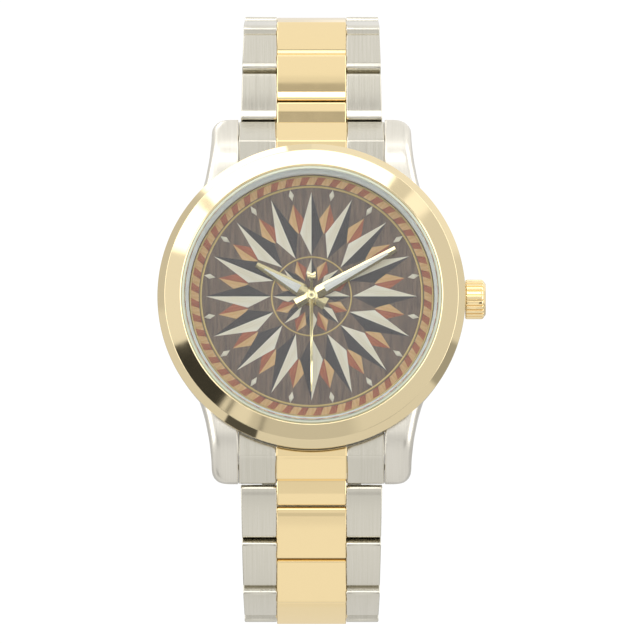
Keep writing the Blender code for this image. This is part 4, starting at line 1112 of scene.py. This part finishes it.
def card(level, bearings, heights, value, soft):
    """Lays one card over the light so far."""
    inside = None
    for angle, (low, high) in ((bearing, bearings), (height, heights)):
        for edge, rising in ((low, True), (high, False)):
            a, b = math.radians(edge - soft / 2), math.radians(edge + soft / 2)
            step = node(
                tree, "ShaderNodeMapRange",
                {"Value": angle, "From Min": a, "From Max": b,
                 "To Min": float(not rising), "To Max": float(rising)},
                interpolation_type="SMOOTHSTEP",
            )
            if inside:
                step = node(tree, "ShaderNodeMath", {0: inside, 1: step}, operation="MULTIPLY")
            inside = step
    return node(tree, "ShaderNodeMix", {0: inside, 2: level, 3: value}, data_type="FLOAT")


level = node(
    tree, "ShaderNodeMapRange",
    {"Value": height, "From Min": math.radians(-40), "From Max": math.radians(10),
     "To Min": 0.86, "To Max": 0.88},
)
# Each card's degrees of bearing (0 in front, 90 at the crown) and of height, how bright it is, and
# over how many degrees its edges fade.
CARDS = (
    # The tent: lighter overhead and behind, with a duller seam high in front and one low in front.
    ((-200, 200), (46, 100), 1.0, 2),
    ((-40, 40), (59, 70), 2.2, 1.5),
    ((-91, 91), (70.5, 75), 0.5, 1.5),
    ((-80, 80), (37, 43.5), 0.52, 1.0),
    ((12, 32), (34, 46), 0.85, 2),
    ((90, 200), (24, 72), 1.1, 6),
    ((-200, -90), (24, 50), 0.9, 6),
    ((-12, 12), (-88, -26), 0.97, 4),
    ((-22, 9), (-21.5, -9), 0.7, 4),
    ((44, 82), (-20, 58), 2.6, 8),
    ((-82, -44), (-20, 58), 2.6, 8),
    ((118, 200), (-26, 13), 0.6, 10),
    ((-200, -118), (-26, 13), 0.6, 10),
    # The softbox above the lens, with the gaps beside it, and its twin behind on the left.
    ((-31, 17.3), (16.5, 37), 2.7, 1.2),
    ((-31, -14), (34, 52), 2.7, 1.2),
    ((-22.9, -21.5), (18, 31), 1.15, 0.6),
    ((20.6, 23.6), (22, 28.5), 1.35, 0.8),
    ((-35, -24.5), (-2, 17), 1.02, 3),
    ((-158, -114), (48, 71), 2.5, 3),
    # Black flags and their stands at the left, a grey one at the right.
    ((14, 34), (-36, -18.3), 0.12, 1.0),
    ((-34, -14), (-36, -18.3), 0.12, 1.0),
    ((-17.9, -12.6), (-22, -11.5), 0.95, 0.6),
    ((-16.9, -16.2), (-22, -9), 0.2, 0.4),
    ((-10.6, -9.8), (-24, -13), 0.35, 0.4),
    ((-26.2, -17.9), (-14.5, -0.8), 0.05, 0.8),
    ((-112, -82), (-65.5, -50.5), 0.1, 1.0),
    ((84, 112), (-29, -10), 0.45, 3),
    ((-116, -92), (3, 46), 0.74, 4),
)
for one in CARDS:
    level = card(level, *one)
light = node(tree, "ShaderNodeBackground", {"Color": (1.0, 0.995, 0.985, 1.0), "Strength": level})
seen = node(tree, "ShaderNodeBackground", {"Color": (1.0, 1.0, 1.0, 1.0), "Strength": 1.05})
path = node(tree, "ShaderNodeLightPath").outputs["Is Camera Ray"]
shown = node(tree, "ShaderNodeMixShader", {0: path, 1: light, 2: seen})
node(tree, "ShaderNodeOutputWorld", {"Surface": shown})

bpy.context.scene.view_settings.view_transform = "Standard"

# The lens stands 8.5 degrees below the dial's axis, far off, as for a catalogue picture.
REACH = 3.5
BELOW = math.radians(8.5)
PICTURE_HALF = 43.87 * MM
eye_line = Vector((0, math.cos(BELOW), math.sin(BELOW)))
up = Vector((0, -math.sin(BELOW), math.cos(BELOW)))
aim = Vector((1.43 * MM, DIAL_FACE, 0)) - up * 3.43 * MM
lens = bpy.data.cameras.new("catalogue_lens")
lens.sensor_width = 36.0
lens.lens = 18.0 * REACH / PICTURE_HALF
lens.clip_start, lens.clip_end = 0.05, 20.0
camera = bpy.data.objects.new("catalogue_lens", lens)
camera.location = aim - eye_line * REACH
camera.rotation_mode = "QUATERNION"
camera.rotation_quaternion = eye_line.to_track_quat("-Z", "Y")
bpy.context.scene.collection.objects.link(camera)
bpy.context.scene.camera = camera
